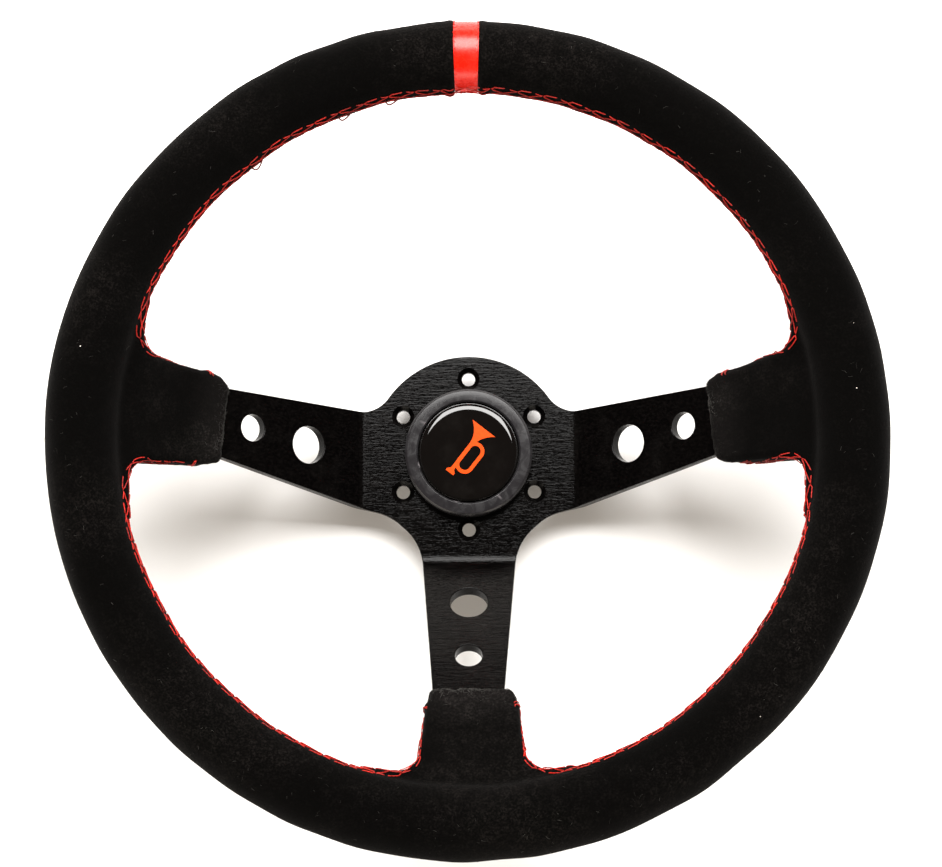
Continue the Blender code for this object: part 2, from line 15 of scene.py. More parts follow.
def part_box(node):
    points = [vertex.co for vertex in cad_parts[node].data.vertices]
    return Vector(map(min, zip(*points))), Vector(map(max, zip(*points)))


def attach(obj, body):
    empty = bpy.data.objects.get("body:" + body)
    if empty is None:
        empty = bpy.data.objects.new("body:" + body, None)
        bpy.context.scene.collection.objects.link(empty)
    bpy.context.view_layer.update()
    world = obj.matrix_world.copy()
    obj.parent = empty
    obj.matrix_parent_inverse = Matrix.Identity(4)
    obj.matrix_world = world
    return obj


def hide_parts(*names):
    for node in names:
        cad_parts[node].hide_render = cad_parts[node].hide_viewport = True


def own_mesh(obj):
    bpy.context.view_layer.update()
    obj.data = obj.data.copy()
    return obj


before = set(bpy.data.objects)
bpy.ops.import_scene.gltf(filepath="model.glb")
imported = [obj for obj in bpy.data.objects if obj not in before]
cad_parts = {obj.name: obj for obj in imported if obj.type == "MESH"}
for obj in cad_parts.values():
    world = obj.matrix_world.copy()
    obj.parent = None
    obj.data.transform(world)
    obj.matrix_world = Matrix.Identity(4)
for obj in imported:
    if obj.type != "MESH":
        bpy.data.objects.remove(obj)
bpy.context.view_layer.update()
MM = 0.001

# Rim, measured from the frame
COVER_LOW, COVER_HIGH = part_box("suede_cover")
BAND_LOW, BAND_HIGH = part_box("centre_band")
PLATE_LOW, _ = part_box("spoke_plate")
GRIP_RADIUS = 15.2 * MM
COVER_OUTSET = 0.4 * MM
RIM_RADIUS = (COVER_HIGH.x - COVER_LOW.x) / 2 - GRIP_RADIUS
RIM_Z = (BAND_LOW.z + BAND_HIGH.z) / 2
BAND_SHIFT = 0.4 * MM
BAND_HALF = (BAND_HIGH.x - BAND_LOW.x) / 2 - 0.4 * MM
THREAD_WIDE = 0.27 * MM
THREAD_FLAT = 0.21 * MM

# Spoke plate and the wings of the cover over its ends
PLATE_THICKNESS = 5.0 * MM
REAR_Z = PLATE_LOW.z
FRONT_Z = REAR_Z + PLATE_THICKNESS
PLATE_Z = REAR_Z + PLATE_THICKNESS / 2
DISH = RIM_Z - PLATE_Z
HUB_RADIUS = 45.5 * MM
BORE_RADIUS = 27.2 * MM
BEND_REACH = 50.0 * MM
BEND_RADIUS = 9.5 * MM
SLOPE = math.atan2(DISH, RIM_RADIUS - BEND_REACH)
SLOPE_LENGTH = math.hypot(DISH, RIM_RADIUS - BEND_REACH)
BEND_TANGENT = BEND_RADIUS * math.tan(SLOPE / 2)
BEND_START = BEND_REACH - BEND_TANGENT
BEND_ARC = BEND_RADIUS * SLOPE
SPOKE_END = 24.0 * MM
WING_LENGTH = 68.5 * MM
MOUTH_HALF = 5.5 * MM
ROOT_HALF = 10.0 * MM

# Horn button
BADGE_RADIUS = 21.9 * MM
BADGE_TOP = FRONT_Z + 11.0 * MM
CROWN = 0.25 * MM
SHOULDER = 19.1 * MM
SHOULDER_ROUND = 5.9 * MM

# Each spoke: its direction across the hub and the direction of its width
SPOKES = {
    "right": (Vector((1, 0, 0)), Vector((0, 1, 0))),
    "left": (Vector((-1, 0, 0)), Vector((0, 1, 0))),
    "bottom": (Vector((0, -1, 0)), Vector((1, 0, 0))),
}


# Camera, floor and light


def place_object(name, data):
    """A new object in the scene."""
    obj = bpy.data.objects.new(name, data)
    bpy.context.scene.collection.objects.link(obj)
    return obj


@contextlib.contextmanager
def edited(mesh):
    """A mesh opened for editing."""
    work = bmesh.new()
    work.from_mesh(mesh)
    yield work
    work.to_mesh(mesh)
    work.free()


def make_camera():
    """Camera above the wheel, tipped a little towards 6 o'clock."""
    distance = 0.76344
    tip = 0.1263478
    lean = 0.0107435
    roll = -0.003394
    back = Vector((math.sin(lean) * math.cos(tip), -math.sin(tip), math.cos(lean) * math.cos(tip)))
    right = Vector((0, 1, 0)).cross(back).normalized()
    up = back.cross(right)
    turned_right = right * math.cos(roll) + up * math.sin(roll)
    turned_up = up * math.cos(roll) - right * math.sin(roll)
    data = bpy.data.cameras.new("camera")
    data.lens = 70.27
    data.sensor_width = 36.0
    data.sensor_fit = "HORIZONTAL"
    data.shift_x = 0.00462
    data.shift_y = -0.00339
    camera = place_object("camera", data)
    axes = Matrix((turned_right, turned_up, back)).transposed().to_4x4()
    camera.matrix_world = Matrix.Translation(Vector((0, 0, RIM_Z)) + back * distance) @ axes
    bpy.context.scene.camera = camera


def leaning(degrees, away, x):
    """A place at a lean from overhead towards 12 o'clock."""
    lean = math.radians(degrees)
    return x, away * math.sin(lean), away * math.cos(lean)


def soft_light(name, place, size, power, colour):
    """A rectangular soft box aimed at the middle of the wheel."""
    data = bpy.data.lights.new(name, "AREA")
    data.shape = "RECTANGLE"
    data.size, data.size_y = size
    data.energy = power
    data.color = colour
    place = Vector(place)
    aim = (Vector((0, 0, 0.05)) - place).to_track_quat("-Z", "Y").to_matrix().to_4x4()
    place_object(name, data).matrix_world = Matrix.Translation(place) @ aim


def make_studio():
    """Pale table, soft boxes and a dim warm room."""
    mesh = bpy.data.meshes.new("table")
    with edited(mesh) as work:
        bmesh.ops.create_grid(work, x_segments=1, y_segments=1, size=4.0)
    table = place_object("table", mesh)
    mesh.materials.append(make_table_finish())
    soft_light("key_box", leaning(31, 1.5, 0.06), size=(1.5, 0.8), power=68, colour=(1.0, 0.985, 0.965))
    soft_light(
        "overhead_fill", leaning(-72, 1.5, -0.35), size=(3.6, 0.6), power=32, colour=(1.0, 0.92, 0.80)
    )
    soft_light("far_panel", (0, 2.2, 0.3), size=(2.2, 0.4), power=13, colour=(1.0, 0.93, 0.86))
    world = bpy.data.worlds.new("room")
    world.use_nodes = True
    background = world.node_tree.nodes["Background"]
    background.inputs["Color"].default_value = (1, 0.86, 0.74, 1)
    background.inputs["Strength"].default_value = 0.13
    bpy.context.scene.world = world
    bpy.context.scene.view_settings.view_transform = "Standard"


# Node groups


class Net:
    """A node tree, with short ways to add to it."""

    def __init__(self, tree):
        self.tree = tree

    def wire(self, value, socket):
        """Link a socket to another, or set a plain number, vector or colour on it."""
        if isinstance(value, bpy.types.NodeSocket):
            self.tree.links.new(value, socket)
        else:
            socket.default_value = (*value, 1) if socket.type == "RGBA" else value

    def node(self, kind, **values):
        """A node with its properties and inputs set by name."""
        made = self.tree.nodes.new("ShaderNode" + kind)
        for key, value in values.items():
            if hasattr(made, key):
                setattr(made, key, value)
            else:
                self.wire(value, made.inputs[key.replace("_", " ")])
        return made

    def number(self, operation, *values):
        """A Math operation on numbers or sockets."""
        made = self.node("Math", operation=operation)
        for value, socket in zip(values, made.inputs):
            self.wire(value, socket)
        return made.outputs[0]

    def times(self, first, *others):
        """Product of several values."""
        for value in others:
            first = self.number("MULTIPLY", first, value)
        return first

    def weigh(self, first, share, second, other_share):
        """Sum of two values, each times its own weight."""
        return self.number("ADD", self.times(first, share), self.times(second, other_share))

    def remap(self, value, low, high, to_low=0.0, to_high=1.0):
        """A value moved smoothly from one range to another."""
        limits = {"From_Min": low, "From_Max": high, "To_Min": to_low, "To_Max": to_high}
        ranged = self.node("MapRange", interpolation_type="SMOOTHSTEP", Value=value, **limits)
        return ranged.outputs["Result"]

    def noise(self, vector, scale, detail=3.0, roughness=0.55, distortion=0.0):
        """A noise value."""
        shape = {"Detail": detail, "Roughness": roughness, "Distortion": distortion}
        return self.node("TexNoise", Vector=vector, Scale=scale, **shape).outputs["Fac"]

    def place(self, stretch=(1, 1, 1)):
        """Object coordinates, stretched along an axis if asked."""
        spot = self.node("TexCoord").outputs["Object"]
        return spot if stretch == (1, 1, 1) else self.node("Mapping", Vector=spot, Scale=stretch).outputs[0]

    def mix(self, share, first, second):
        """A colour between two, each a plain colour or a socket."""
        mixer = self.node("Mix", data_type="RGBA", Factor=share)
        colours = [socket for socket in mixer.inputs if socket.type == "RGBA"]
        for value, socket in zip((first, second), colours):
            self.wire(value, socket)
        return next(socket for socket in mixer.outputs if socket.type == "RGBA")

    def effect(self, name, **values):
        """One of the shared effects, with this material's own values."""
        made = self.tree.nodes.new("ShaderNodeGroup")
        made.node_tree = bpy.data.node_groups[name]
        for key, value in values.items():
            made.inputs[key].default_value = value
        return made.outputs


def start_effect(name, inputs, *outputs):
    """An empty shader group with number inputs (name: default) and number outputs."""
    tree = bpy.data.node_groups.new(name, "ShaderNodeTree")
    for label, value in inputs.items():
        socket = tree.interface.new_socket(label, in_out="INPUT", socket_type="NodeSocketFloat")
        socket.default_value = value
    for label in outputs:
        tree.interface.new_socket(label, in_out="OUTPUT", socket_type="NodeSocketFloat")
    return Net(tree), tree.nodes.new("NodeGroupInput").outputs, tree.nodes.new("NodeGroupOutput").inputs


def make_nap():
    """Brushed nap: fine fibres inside soft patches that lie different ways."""
    net, given, result = start_effect("nap", {"Patch": 240.0, "Fibre": 1100.0}, "Shade", "Height")
    place = net.place()
    fibre = net.noise(place, given["Fibre"], 4.0, 0.7)
    patch = net.noise(place, given["Patch"], 4.0, 0.65, 0.5)
    soft = net.remap(patch, 0.36, 0.72, 0.25, 1.0)
    zone = net.remap(net.noise(place, 14.0, 3.0, 0.6), 0.42, 0.66, 0.12, 1.0)
    speck = net.remap(fibre, 0.42, 0.66, 0.1, 1.7)
    net.wire(net.times(soft, zone, speck), result["Shade"])
    net.wire(net.weigh(fibre, 0.6, patch, 0.4), result["Height"])


def make_lint():
    """Sparse pale specks that have settled on a surface."""
    net, given, result = start_effect("lint", {"Spread": 120.0, "Size": 0.035, "Share": 0.12}, "Mask")
    cells = net.node("TexVoronoi", feature="F1", Randomness=1.0, Vector=net.place(), Scale=given["Spread"])
    parts = net.node("SeparateColor", Color=cells.outputs["Color"])
    chosen = net.number("LESS_THAN", parts.outputs[0], given["Share"])
    near = net.number("LESS_THAN", cells.outputs["Distance"], given["Size"])
    net.wire(net.times(chosen, near), result["Mask"])


def make_brushing():
    """Short wavy streaks left by linishing the sheet along X."""
    net, given, result = start_effect("brushing", {"Fineness": 1.0}, "Streak", "Height")
    wander = net.noise(net.place(), 90.0, 2.0)
    shifted_place = net.node("VectorMath", operation="ADD")
    net.wire(net.place((120.0, 950.0, 950.0)), shifted_place.inputs[0])
    net.wire(net.times(wander, 1.6), shifted_place.inputs[1])
    coarse = net.noise(shifted_place.outputs[0], given["Fineness"], 3.0, 0.65)
    fine = net.noise(net.place((300.0, 3200.0, 3200.0)), given["Fineness"], 2.0)
    mixed = net.weigh(coarse, 0.7, fine, 0.3)
    net.wire(net.remap(mixed, 0.42, 0.68), result["Streak"])
    net.wire(mixed, result["Height"])


def make_edge_wear_and_highlight():
    """Mask of the outer edges, broken up by noise: edge wear, and on the satin bezel also a painted
    highlight.
    """
    net, given, result = start_effect("edge_wear_and_highlight", {"Start": 0.52, "End": 0.6}, "Mask")
    point = net.node("NewGeometry").outputs["Pointiness"]
    ranged = net.node("MapRange", Value=point, From_Min=given["Start"], From_Max=given["End"])
    broken = net.remap(net.noise(net.place(), 260.0, 4.0), 0.3, 0.6, 0.25, 1.0)
    net.wire(net.times(ranged.outputs["Result"], broken), result["Mask"])


def make_moulded_grain():
    """Fine pebbled grain of moulded plastic, with faint rubbed patches."""
    net, given, result = start_effect("moulded_grain", {"Grain": 1600.0}, "Rub", "Height")
    place = net.place()
    net.wire(net.remap(net.noise(place, 130.0, 5.0, 0.65, 1.2), 0.38, 0.7), result["Rub"])
    net.wire(net.noise(place, given["Grain"], 3.0, 0.6), result["Height"])


def make_leather_grain():
    """Tight grain of smooth finished leather."""
    net, given, result = start_effect("leather_grain", {"Pores": 1500.0}, "Shade", "Height")
    place = net.place()
    cells = net.node("TexVoronoi", feature="SMOOTH_F1", Smoothness=0.5, Vector=place, Scale=given["Pores"])
    crease = net.noise(place, 420.0, 4.0, 0.6, 0.4)
    net.wire(net.remap(crease, 0.35, 0.7), result["Shade"])
    net.wire(net.number("ADD", net.times(cells.outputs["Distance"], 0.5), crease), result["Height"])


def make_dust():
    """Faint film and fine specks of dust on a smooth surface."""
    net, given, result = start_effect("dust", {"Amount": 0.5}, "Mask")
    place = net.place()
    film = net.remap(net.noise(place, 70.0, 4.0, 0.6), 0.45, 0.8)
    specks = net.remap(net.noise(place, 2600.0, 2.0, 0.5), 0.72, 0.78)
    net.wire(net.times(net.weigh(film, 0.35, specks, 0.8), given["Amount"]), result["Mask"])


# Materials

FINISHES = {}


class Finish(Net):
    """A Principled material being made, with constants set on its own sockets."""

    def __init__(self, name, **settings):
        made = bpy.data.materials.new(name)
        made.use_nodes = True
        super().__init__(made.node_tree)
        self.made = made
        self.inputs = self.tree.nodes["Principled BSDF"].inputs
        for key, value in settings.items():
            self.wire(value, self.inputs[key.replace("_", " ")])
        FINISHES[name] = made

    def colour(self, value):
        """Feed the base colour."""
        self.wire(value, self.inputs["Base Color"])

    def polish(self, value, low, high, start=0, end=1):
        """Roughness that runs from low to high as a value goes from start to end."""
        self.wire(self.remap(value, start, end, low, high), self.inputs["Roughness"])

    def relief(self, height, strength, depth):
        """Bump of the given depth in metres."""
        bump = self.node("Bump", Strength=strength, Distance=depth, Height=height)
        self.wire(bump.outputs["Normal"], self.inputs["Normal"])


def make_suede():
    """Black suede: dark pile with a soft sheen, paler where the nap is brushed up, with a painted sheen
    near the wing mouths, and some lint.
    """
    finish = Finish(
        "black_suede", Roughness=0.95, Sheen_Weight=0.025, Sheen_Roughness=0.4,
        Specular_IOR_Level=0.04, Sheen_Tint=(0.9, 0.86, 0.84),
    )
    nap = finish.effect("nap")
    lint = finish.effect("lint")
    pile = finish.mix(nap["Shade"], (0.0004, 0.0003, 0.0002), (0.0056, 0.0047, 0.0042))
    flat = finish.node("VectorMath", operation="MULTIPLY")
    finish.wire(finish.place(), flat.inputs[0])
    finish.wire((1, 1, 0), flat.inputs[1])
    radius = finish.node("VectorMath", operation="LENGTH")
    finish.wire(flat.outputs[0], radius.inputs[0])
    # Painted sheen: paler pile towards the mouths of the wings, standing in for light caught by the nap
    # there.
    mouth = finish.remap(radius.outputs["Value"], 0.107, 0.124, 0.7, 0.0)
    mouth_sheen = finish.times(mouth, finish.number("ADD", nap["Shade"], 0.15))
    pile_with_mouth_sheen = finish.mix(mouth_sheen, pile, (0.024, 0.021, 0.020))
    finish.colour(finish.mix(lint["Mask"], pile_with_mouth_sheen, (0.5, 0.48, 0.44)))
    finish.relief(nap["Height"], 0.7, 0.35 * MM)


def make_thread(name, dark, bright):
    """Waxed sewing thread, its plies shaded in the twist."""
    finish = Finish(name, Specular_IOR_Level=0.3)
    fibres = finish.noise(finish.place(), 3200.0, 3.0, 0.6)
    patch = finish.noise(finish.place(), 130.0, 2.0)
    mixed = finish.weigh(fibres, 0.6, patch, 0.4)
    finish.colour(finish.mix(finish.remap(mixed, 0.35, 0.65), dark, bright))
    finish.polish(fibres, 0.42, 0.6, 0.3, 0.7)
    finish.relief(fibres, 0.4, 0.06 * MM)


def make_hard(name, source, tones, polish, relief, dust=None, wear_and_highlight=None, relief_source=None, **settings):
    """A material whose colour and polish follow one effect, under some dust and edge wear, which on the
    satin bezel is
    also a painted highlight: source is the effect, the output to follow and its values; relief is strength
    and depth in mm."""
    finish = Finish(name, **settings)
    kind, output, values = source
    grain = finish.effect(kind, **values)
    colour = finish.mix(grain[output], *tones)
    if dust:
        amount, tone = dust
        colour = finish.mix(finish.effect("dust", Amount=amount)["Mask"], colour, tone)
    if wear_and_highlight:
        start, end, tone = wear_and_highlight
        colour = finish.mix(finish.effect("edge_wear_and_highlight", Start=start, End=end)["Mask"], colour, tone)
    finish.colour(colour)
    finish.polish(grain[output], *polish)
    if relief_source:
        kind, values = relief_source
        grain = finish.effect(kind, **values)
    strength, depth = relief
    finish.relief(grain["Height"], strength, depth * MM)


def make_metal(name, dark, bright, polish, relief_source=None):
    """Bare or plated metal: a stained colour, uneven polish and fine tool marks."""
    worn = tuple(min(1.0, part * 1.15) for part in bright)
    make_hard(
        name, ("moulded_grain", "Rub", {"Grain": 700.0}), (dark, bright), polish, (0.25, 0.04),
        wear_and_highlight=(0.52, 0.62, worn), relief_source=relief_source, Metallic=1.0,
    )


def make_gloss(name, roughness, amount):
    """Polished black, with a few specks of dust."""
    finish = Finish(name, Specular_IOR_Level=0.5)
    dust = finish.effect("dust", Amount=amount)["Mask"]
    finish.colour(finish.mix(dust, (0.0012, 0.0008, 0.0007), (0.1, 0.09, 0.08)))
    finish.polish(dust, roughness, roughness + 0.3)
    finish.relief(finish.effect("moulded_grain", Grain=240.0)["Height"], 0.02, 0.02 * MM)


def make_speckled(name, noise, tones, **settings):
    """A plain material between two tones; noise is its scale, detail, roughness, low and high."""
    finish = Finish(name, **settings)
    scale, detail, roughness, low, high = noise
    grain = finish.noise(finish.place(), scale, detail, roughness)
    finish.colour(finish.mix(finish.remap(grain, low, high), *tones))
    return finish.made


def make_table_finish():
    """Matt white table."""
    tones = ((0.90, 0.89, 0.88), (0.92, 0.91, 0.90))
    return make_speckled(
        "white_table", (6.0, 3.0, 0.55, 0.3, 0.7), tones, Roughness=0.9, Specular_IOR_Level=0.1
    )


def make_finishes():
    """The shared effects, then every material that uses them."""
    for make in (make_nap, make_lint, make_brushing, make_edge_wear_and_highlight, make_moulded_grain,
                 make_leather_grain, make_dust):
        make()
    make_suede()
    make_hard(
        "red_leather", ("leather_grain", "Shade", {}), ((0.58, 0.0065, 0.0012), (0.68, 0.011, 0.0022)),
        (0.25, 0.31), (0.25, 0.08), dust=(0.1, (0.7, 0.5, 0.42)),
        Specular_IOR_Level=0.34, Coat_Roughness=0.3,
    )
    make_thread("red_thread", (0.14, 0.002, 0.0008), (0.62, 0.014, 0.004))
    make_thread("slack_thread", (0.05, 0.002, 0.001), (0.12, 0.005, 0.003))
    make_speckled(
        "lint_fibre", (60.0, 3.0, 0.7, 0.4, 0.65), ((0.010, 0.009, 0.008), (0.055, 0.052, 0.048)),
        Roughness=0.9, Specular_IOR_Level=0.1,
    )
    make_hard(
        "black_anodised", ("brushing", "Streak", {}), ((0.0006, 0.0005, 0.0005), (0.0028, 0.0023, 0.0022)),
        (0.12, 0.18), (1.0, 0.17), dust=(0.02, (0.25, 0.23, 0.21)), Metallic=0.0, Specular_IOR_Level=0.09,
    )
    # Painted highlight: the pale edge band on the satin bezel stands in for the key light catching its
    # rounded outer edge, over some real edge wear.
    make_hard(
        "satin_black", ("moulded_grain", "Rub", {"Grain": 900.0}),
        ((0.011, 0.010, 0.011), (0.019, 0.018, 0.019)), (0.2, 0.32), (0.12, 0.05),
        dust=(0.08, (0.25, 0.24, 0.23)), wear_and_highlight=(0.54, 0.62, (0.16, 0.145, 0.15)), Specular_IOR_Level=0.22,
    )
    make_gloss("gloss_black", 0.16, 0.15)
    make_gloss("badge_gloss", 0.05, 0.07)
    make_speckled(
        "orange_print", (900.0, 3.0, 0.55, 0.3, 0.7), ((0.60, 0.050, 0.0002), (0.68, 0.062, 0.0004)),
        Coat_Weight=0.6, Coat_Roughness=0.05, Roughness=0.45, Specular_IOR_Level=0.08,
    )
    make_hard(
        "black_plastic", ("moulded_grain", "Rub", {"Grain": 1300.0}),
        ((0.011, 0.011, 0.012), (0.021, 0.020, 0.020)), (0.45, 0.62), (0.35, 0.06),
        dust=(0.25, (0.22, 0.21, 0.2)), wear_and_highlight=(0.53, 0.64, (0.07, 0.07, 0.07)),
    )
    make_hard(
        "moulded_foam", ("moulded_grain", "Rub", {"Grain": 500.0}),
        ((0.03, 0.03, 0.03), (0.065, 0.062, 0.06)), (0.8, 0.95), (0.5, 0.2),
        relief_source=("leather_grain", {"Pores": 900.0}), Specular_IOR_Level=0.3,
    )
    marks = ("brushing", {"Fineness": 1.4})
    make_metal("bare_aluminium", (0.5, 0.5, 0.51), (0.68, 0.68, 0.69), (0.3, 0.48), marks)
    make_metal("plated_steel", (0.42, 0.42, 0.44), (0.62, 0.62, 0.64), (0.22, 0.4))
    make_metal("brass", (0.55, 0.33, 0.09), (0.78, 0.55, 0.2), (0.22, 0.42))


make_finishes()


# Making pieces


def finish_piece(name, mesh, finish, body="wheel", replaced=(), angle=35):
    """Link a mesh as a finished piece that rides on a body and stands for CAD nodes."""
    piece = place_object(name, mesh)
    mesh.materials.clear()
    mesh.materials.append(FINISHES[finish])
    mesh.shade_smooth()
    mesh.set_sharp_from_angle(angle=math.radians(angle))
    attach(piece, body)
    if replaced:
        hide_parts(*replaced)
    return piece


def new_mesh(name, vertices, faces):
    """A mesh of points and faces, its faces turned outward."""
    mesh = bpy.data.meshes.new(name)
    mesh.from_pydata([tuple(v) for v in vertices], [], faces)
    mesh.validate()
    with edited(mesh) as work:
        bmesh.ops.recalc_face_normals(work, faces=work.faces)
    return mesh


def mesh_of(obj):
    """The welded mesh of an evaluated scratch object, which is removed."""
    graph = bpy.context.evaluated_depsgraph_get()
    mesh = bpy.data.meshes.new_from_object(obj.evaluated_get(graph))
    with edited(mesh) as work:
        bmesh.ops.remove_doubles(work, verts=work.verts, dist=1e-6)
    mesh.transform(obj.matrix_world)
    bpy.data.objects.remove(obj)
    return mesh


def boolean(mesh, tool, operation):
    """Join or cut two meshes."""
    target = place_object("target", mesh)
    cutter = place_object("cutter", tool)
    modifier = target.modifiers.new("boolean", "BOOLEAN")
    modifier.operation = operation
    modifier.solver = "EXACT"
    modifier.object = cutter
    made = mesh_of(target)
    bpy.data.objects.remove(cutter)
    return made


def drilled(mesh, spots, low, high, radius_low, radius_high, steps=48):
    """A mesh with a round or conical hole cut at each spot, between two heights."""
    middle = (low + high) / 2
    for spot in spots:
        tool = bpy.data.meshes.new("cone")
        with edited(tool) as work:
            bmesh.ops.create_cone(
                work, cap_ends=True, segments=steps,
                radius1=radius_low, radius2=radius_high, depth=high - low,
            )
        tool.transform(Matrix.Translation((spot.x, spot.y, middle)))
        mesh = boolean(mesh, tool, "DIFFERENCE")
    return mesh


def arc(centre, radius, start, end, facet=math.radians(6)):
    """Points of an arc between two angles, both ends included."""
    steps = max(2, math.ceil(abs(end - start) / facet))
    angles = [start + (end - start) * step / steps for step in range(steps + 1)]
    return [(centre[0] + radius * math.cos(a), centre[1] + radius * math.sin(a)) for a in angles]


def circle(centre, radius):
    """Points round a circle."""
    return arc(centre, radius, 0, math.tau)[:-1]


def ring_of(count, first, radius):
    """Spots evenly round the axis, the first at an angle in degrees, the radius in millimetres."""
    angles = [math.radians(first + 360 / count * index) for index in range(count)]
    return [Vector((math.cos(a), math.sin(a), 0)) * radius * MM for a in angles]


def rounded(corners, facet=math.radians(6)):
    """Outline of a polygon of (x, y, radius) corners, each rounded by its own radius."""
    points = []
    for index, (x, y, radius) in enumerate(corners):
        here = Vector((x, y))
        if radius == 0:
            points.append((x, y))
            continue
        before = (Vector(corners[index - 1][:2]) - here).normalized()
        after = (Vector(corners[(index + 1) % len(corners)][:2]) - here).normalized()
        half = before.angle(after) / 2
        centre = here + (before + after).normalized() * radius / math.sin(half)
        first = here + before * radius / math.tan(half) - centre
        last = here + after * radius / math.tan(half) - centre
        start = math.atan2(first.y, first.x)
        turn = (math.atan2(last.y, last.x) - start + math.pi) % (2 * math.pi) - math.pi
        points += arc(centre, radius, start, start + turn, facet)
    return points


def flat_plate(outlines, thickness, edge=0.0):
    """Extrude outlines in XY to a plate centred on z = 0; later outlines are holes."""
    curve = bpy.data.curves.new("plate", "CURVE")
    curve.dimensions = "2D"
    curve.fill_mode = "BOTH"
    curve.extrude = thickness / 2 - edge
    curve.bevel_depth = edge
    curve.bevel_resolution = 2
    curve.offset = -edge
    for outline in outlines:
        spline = curve.splines.new("POLY")
        spline.points.add(len(outline) - 1)
        spline.use_cyclic_u = True
        for point, (x, y) in zip(spline.points, outline):
            point.co = (x, y, 0, 1)
    return mesh_of(place_object("plate", curve))


def turned(corners, steps=128, floor=0.0):
    """Turn a closed profile of (radius, height, corner radius) in millimetres about the Z axis."""
    profile = rounded([(r * MM, z * MM + floor, radius * MM) for r, z, radius in corners], math.radians(15))
    mesh = bpy.data.meshes.new("profile")
    count = len(profile)
    edges = [(i, (i + 1) % count) for i in range(count)]
    edges = [(a, b) for a, b in edges if max(profile[a][0], profile[b][0]) > 1e-7]
    mesh.from_pydata([(r, 0, z) for r, z in profile], edges, [])
    obj = place_object("profile", mesh)
    screw = obj.modifiers.new("turn", "SCREW")
    screw.steps = steps
    screw.render_steps = steps
    screw.use_merge_vertices = True
    screw.merge_threshold = 0.00001
    return mesh_of(obj)


def cut_lines(mesh, planes):
    """Cut a mesh's faces along planes, keeping both sides."""
    with edited(mesh) as work:
        for place, normal in planes:
            cells = work.verts[:] + work.edges[:] + work.faces[:]
            bmesh.ops.bisect_plane(work, geom=cells, dist=1e-7, plane_co=place, plane_no=normal)


# Spoke plate

# Lower and upper edge of each spoke's plate, at its bend and at its wing's mouth, in millimetres
SIDE_EDGES = ((-25.2, -7.1), (19.8, 24.3))
PLATE_EDGES = {"right": SIDE_EDGES, "left": SIDE_EDGES, "bottom": ((-21.4, -15.7), (21.4, 15.7))}

# Lightening holes: how far down the slope, how far across, and radius, in millimetres
SIDE_HOLES = ((111.0, 2.4, 8.5), (81.4, 7.9, 6.0))
PLATE_HOLES = {"right": SIDE_HOLES, "left": SIDE_HOLES, "bottom": ((115.2, 0, 8.5), (84.8, 0, 6.0))}


def edge_width(side, s):
    """Lower and upper edge of a spoke's plate at a place along it."""
    run = (s + SLOPE_LENGTH) / (SLOPE_LENGTH - WING_LENGTH)
    return [(bend + (mouth - bend) * run) * MM for bend, mouth in PLATE_EDGES[side]]


def flat_run(s):
    """Distance from the wheel's axis, in the flat blank, of a place along a spoke's slope."""
    return BEND_START + BEND_ARC + s + SLOPE_LENGTH - BEND_TANGENT


def bent(point):
    """Where a point of the flat blank lies once its spoke is bent up."""
    for out, _ in SPOKES.values():
        run = point.dot(out)
        if run <= BEND_START:
            continue
        turn = min((run - BEND_START) / BEND_RADIUS, SLOPE)
        rest = max(0.0, run - BEND_START - BEND_ARC)
        reach = BEND_RADIUS - point.z
        across = point - out * run
        across.z = 0
        radial = BEND_START + reach * math.sin(turn) + rest * math.cos(turn)
        height = BEND_RADIUS - reach * math.cos(turn) + rest * math.sin(turn)
        return across + out * radial + Vector((0, 0, height))
    return point


def blank_edge(side, upper):
    """Start, end, direction and outward normal of one edge of a spoke in the flat blank."""
    out, across = (vector.to_2d() for vector in SPOKES[side])
    places = (-SLOPE_LENGTH, -SPOKE_END)
    start, end = (out * flat_run(s) + across * edge_width(side, s)[1 if upper else 0] for s in places)
    direction = (end - start).normalized()
    outward = (across if upper else -across).copy()
    outward = (outward - direction * outward.dot(direction)).normalized()
    return start, end, direction, outward


def plate_outline():
    """Outline of the flat blank: the half at +X, then its mirror image."""
    half = []
    previous = math.radians(90)
    edges = (("right", True, 15 * MM), ("right", False, 24 * MM), ("bottom", True, 24 * MM))
    for side, upper, radius in edges:
        start, end, direction, outward = blank_edge(side, upper)
        offset = start.dot(outward) + radius
        centre = outward * offset + direction * math.sqrt((HUB_RADIUS + radius) ** 2 - offset**2)
        touch_hub = math.atan2(centre.y, centre.x)
        back_to_hub = math.atan2(-centre.y, -centre.x)
        to_edge = math.atan2(-outward.y, -outward.x)
        turn = (to_edge - back_to_hub + math.pi) % (2 * math.pi) - math.pi
        corner = arc(centre, radius, back_to_hub, back_to_hub + turn, math.radians(5))
        if (side, upper) == ("right", False):
            half += [tuple(end)] + corner[::-1]
            previous = touch_hub
        else:
            half += arc((0, 0), HUB_RADIUS, previous, touch_hub, math.radians(3))[:-1] + corner
            half.append(tuple(end))
    return half + [(-x, y) for x, y in reversed(half)]


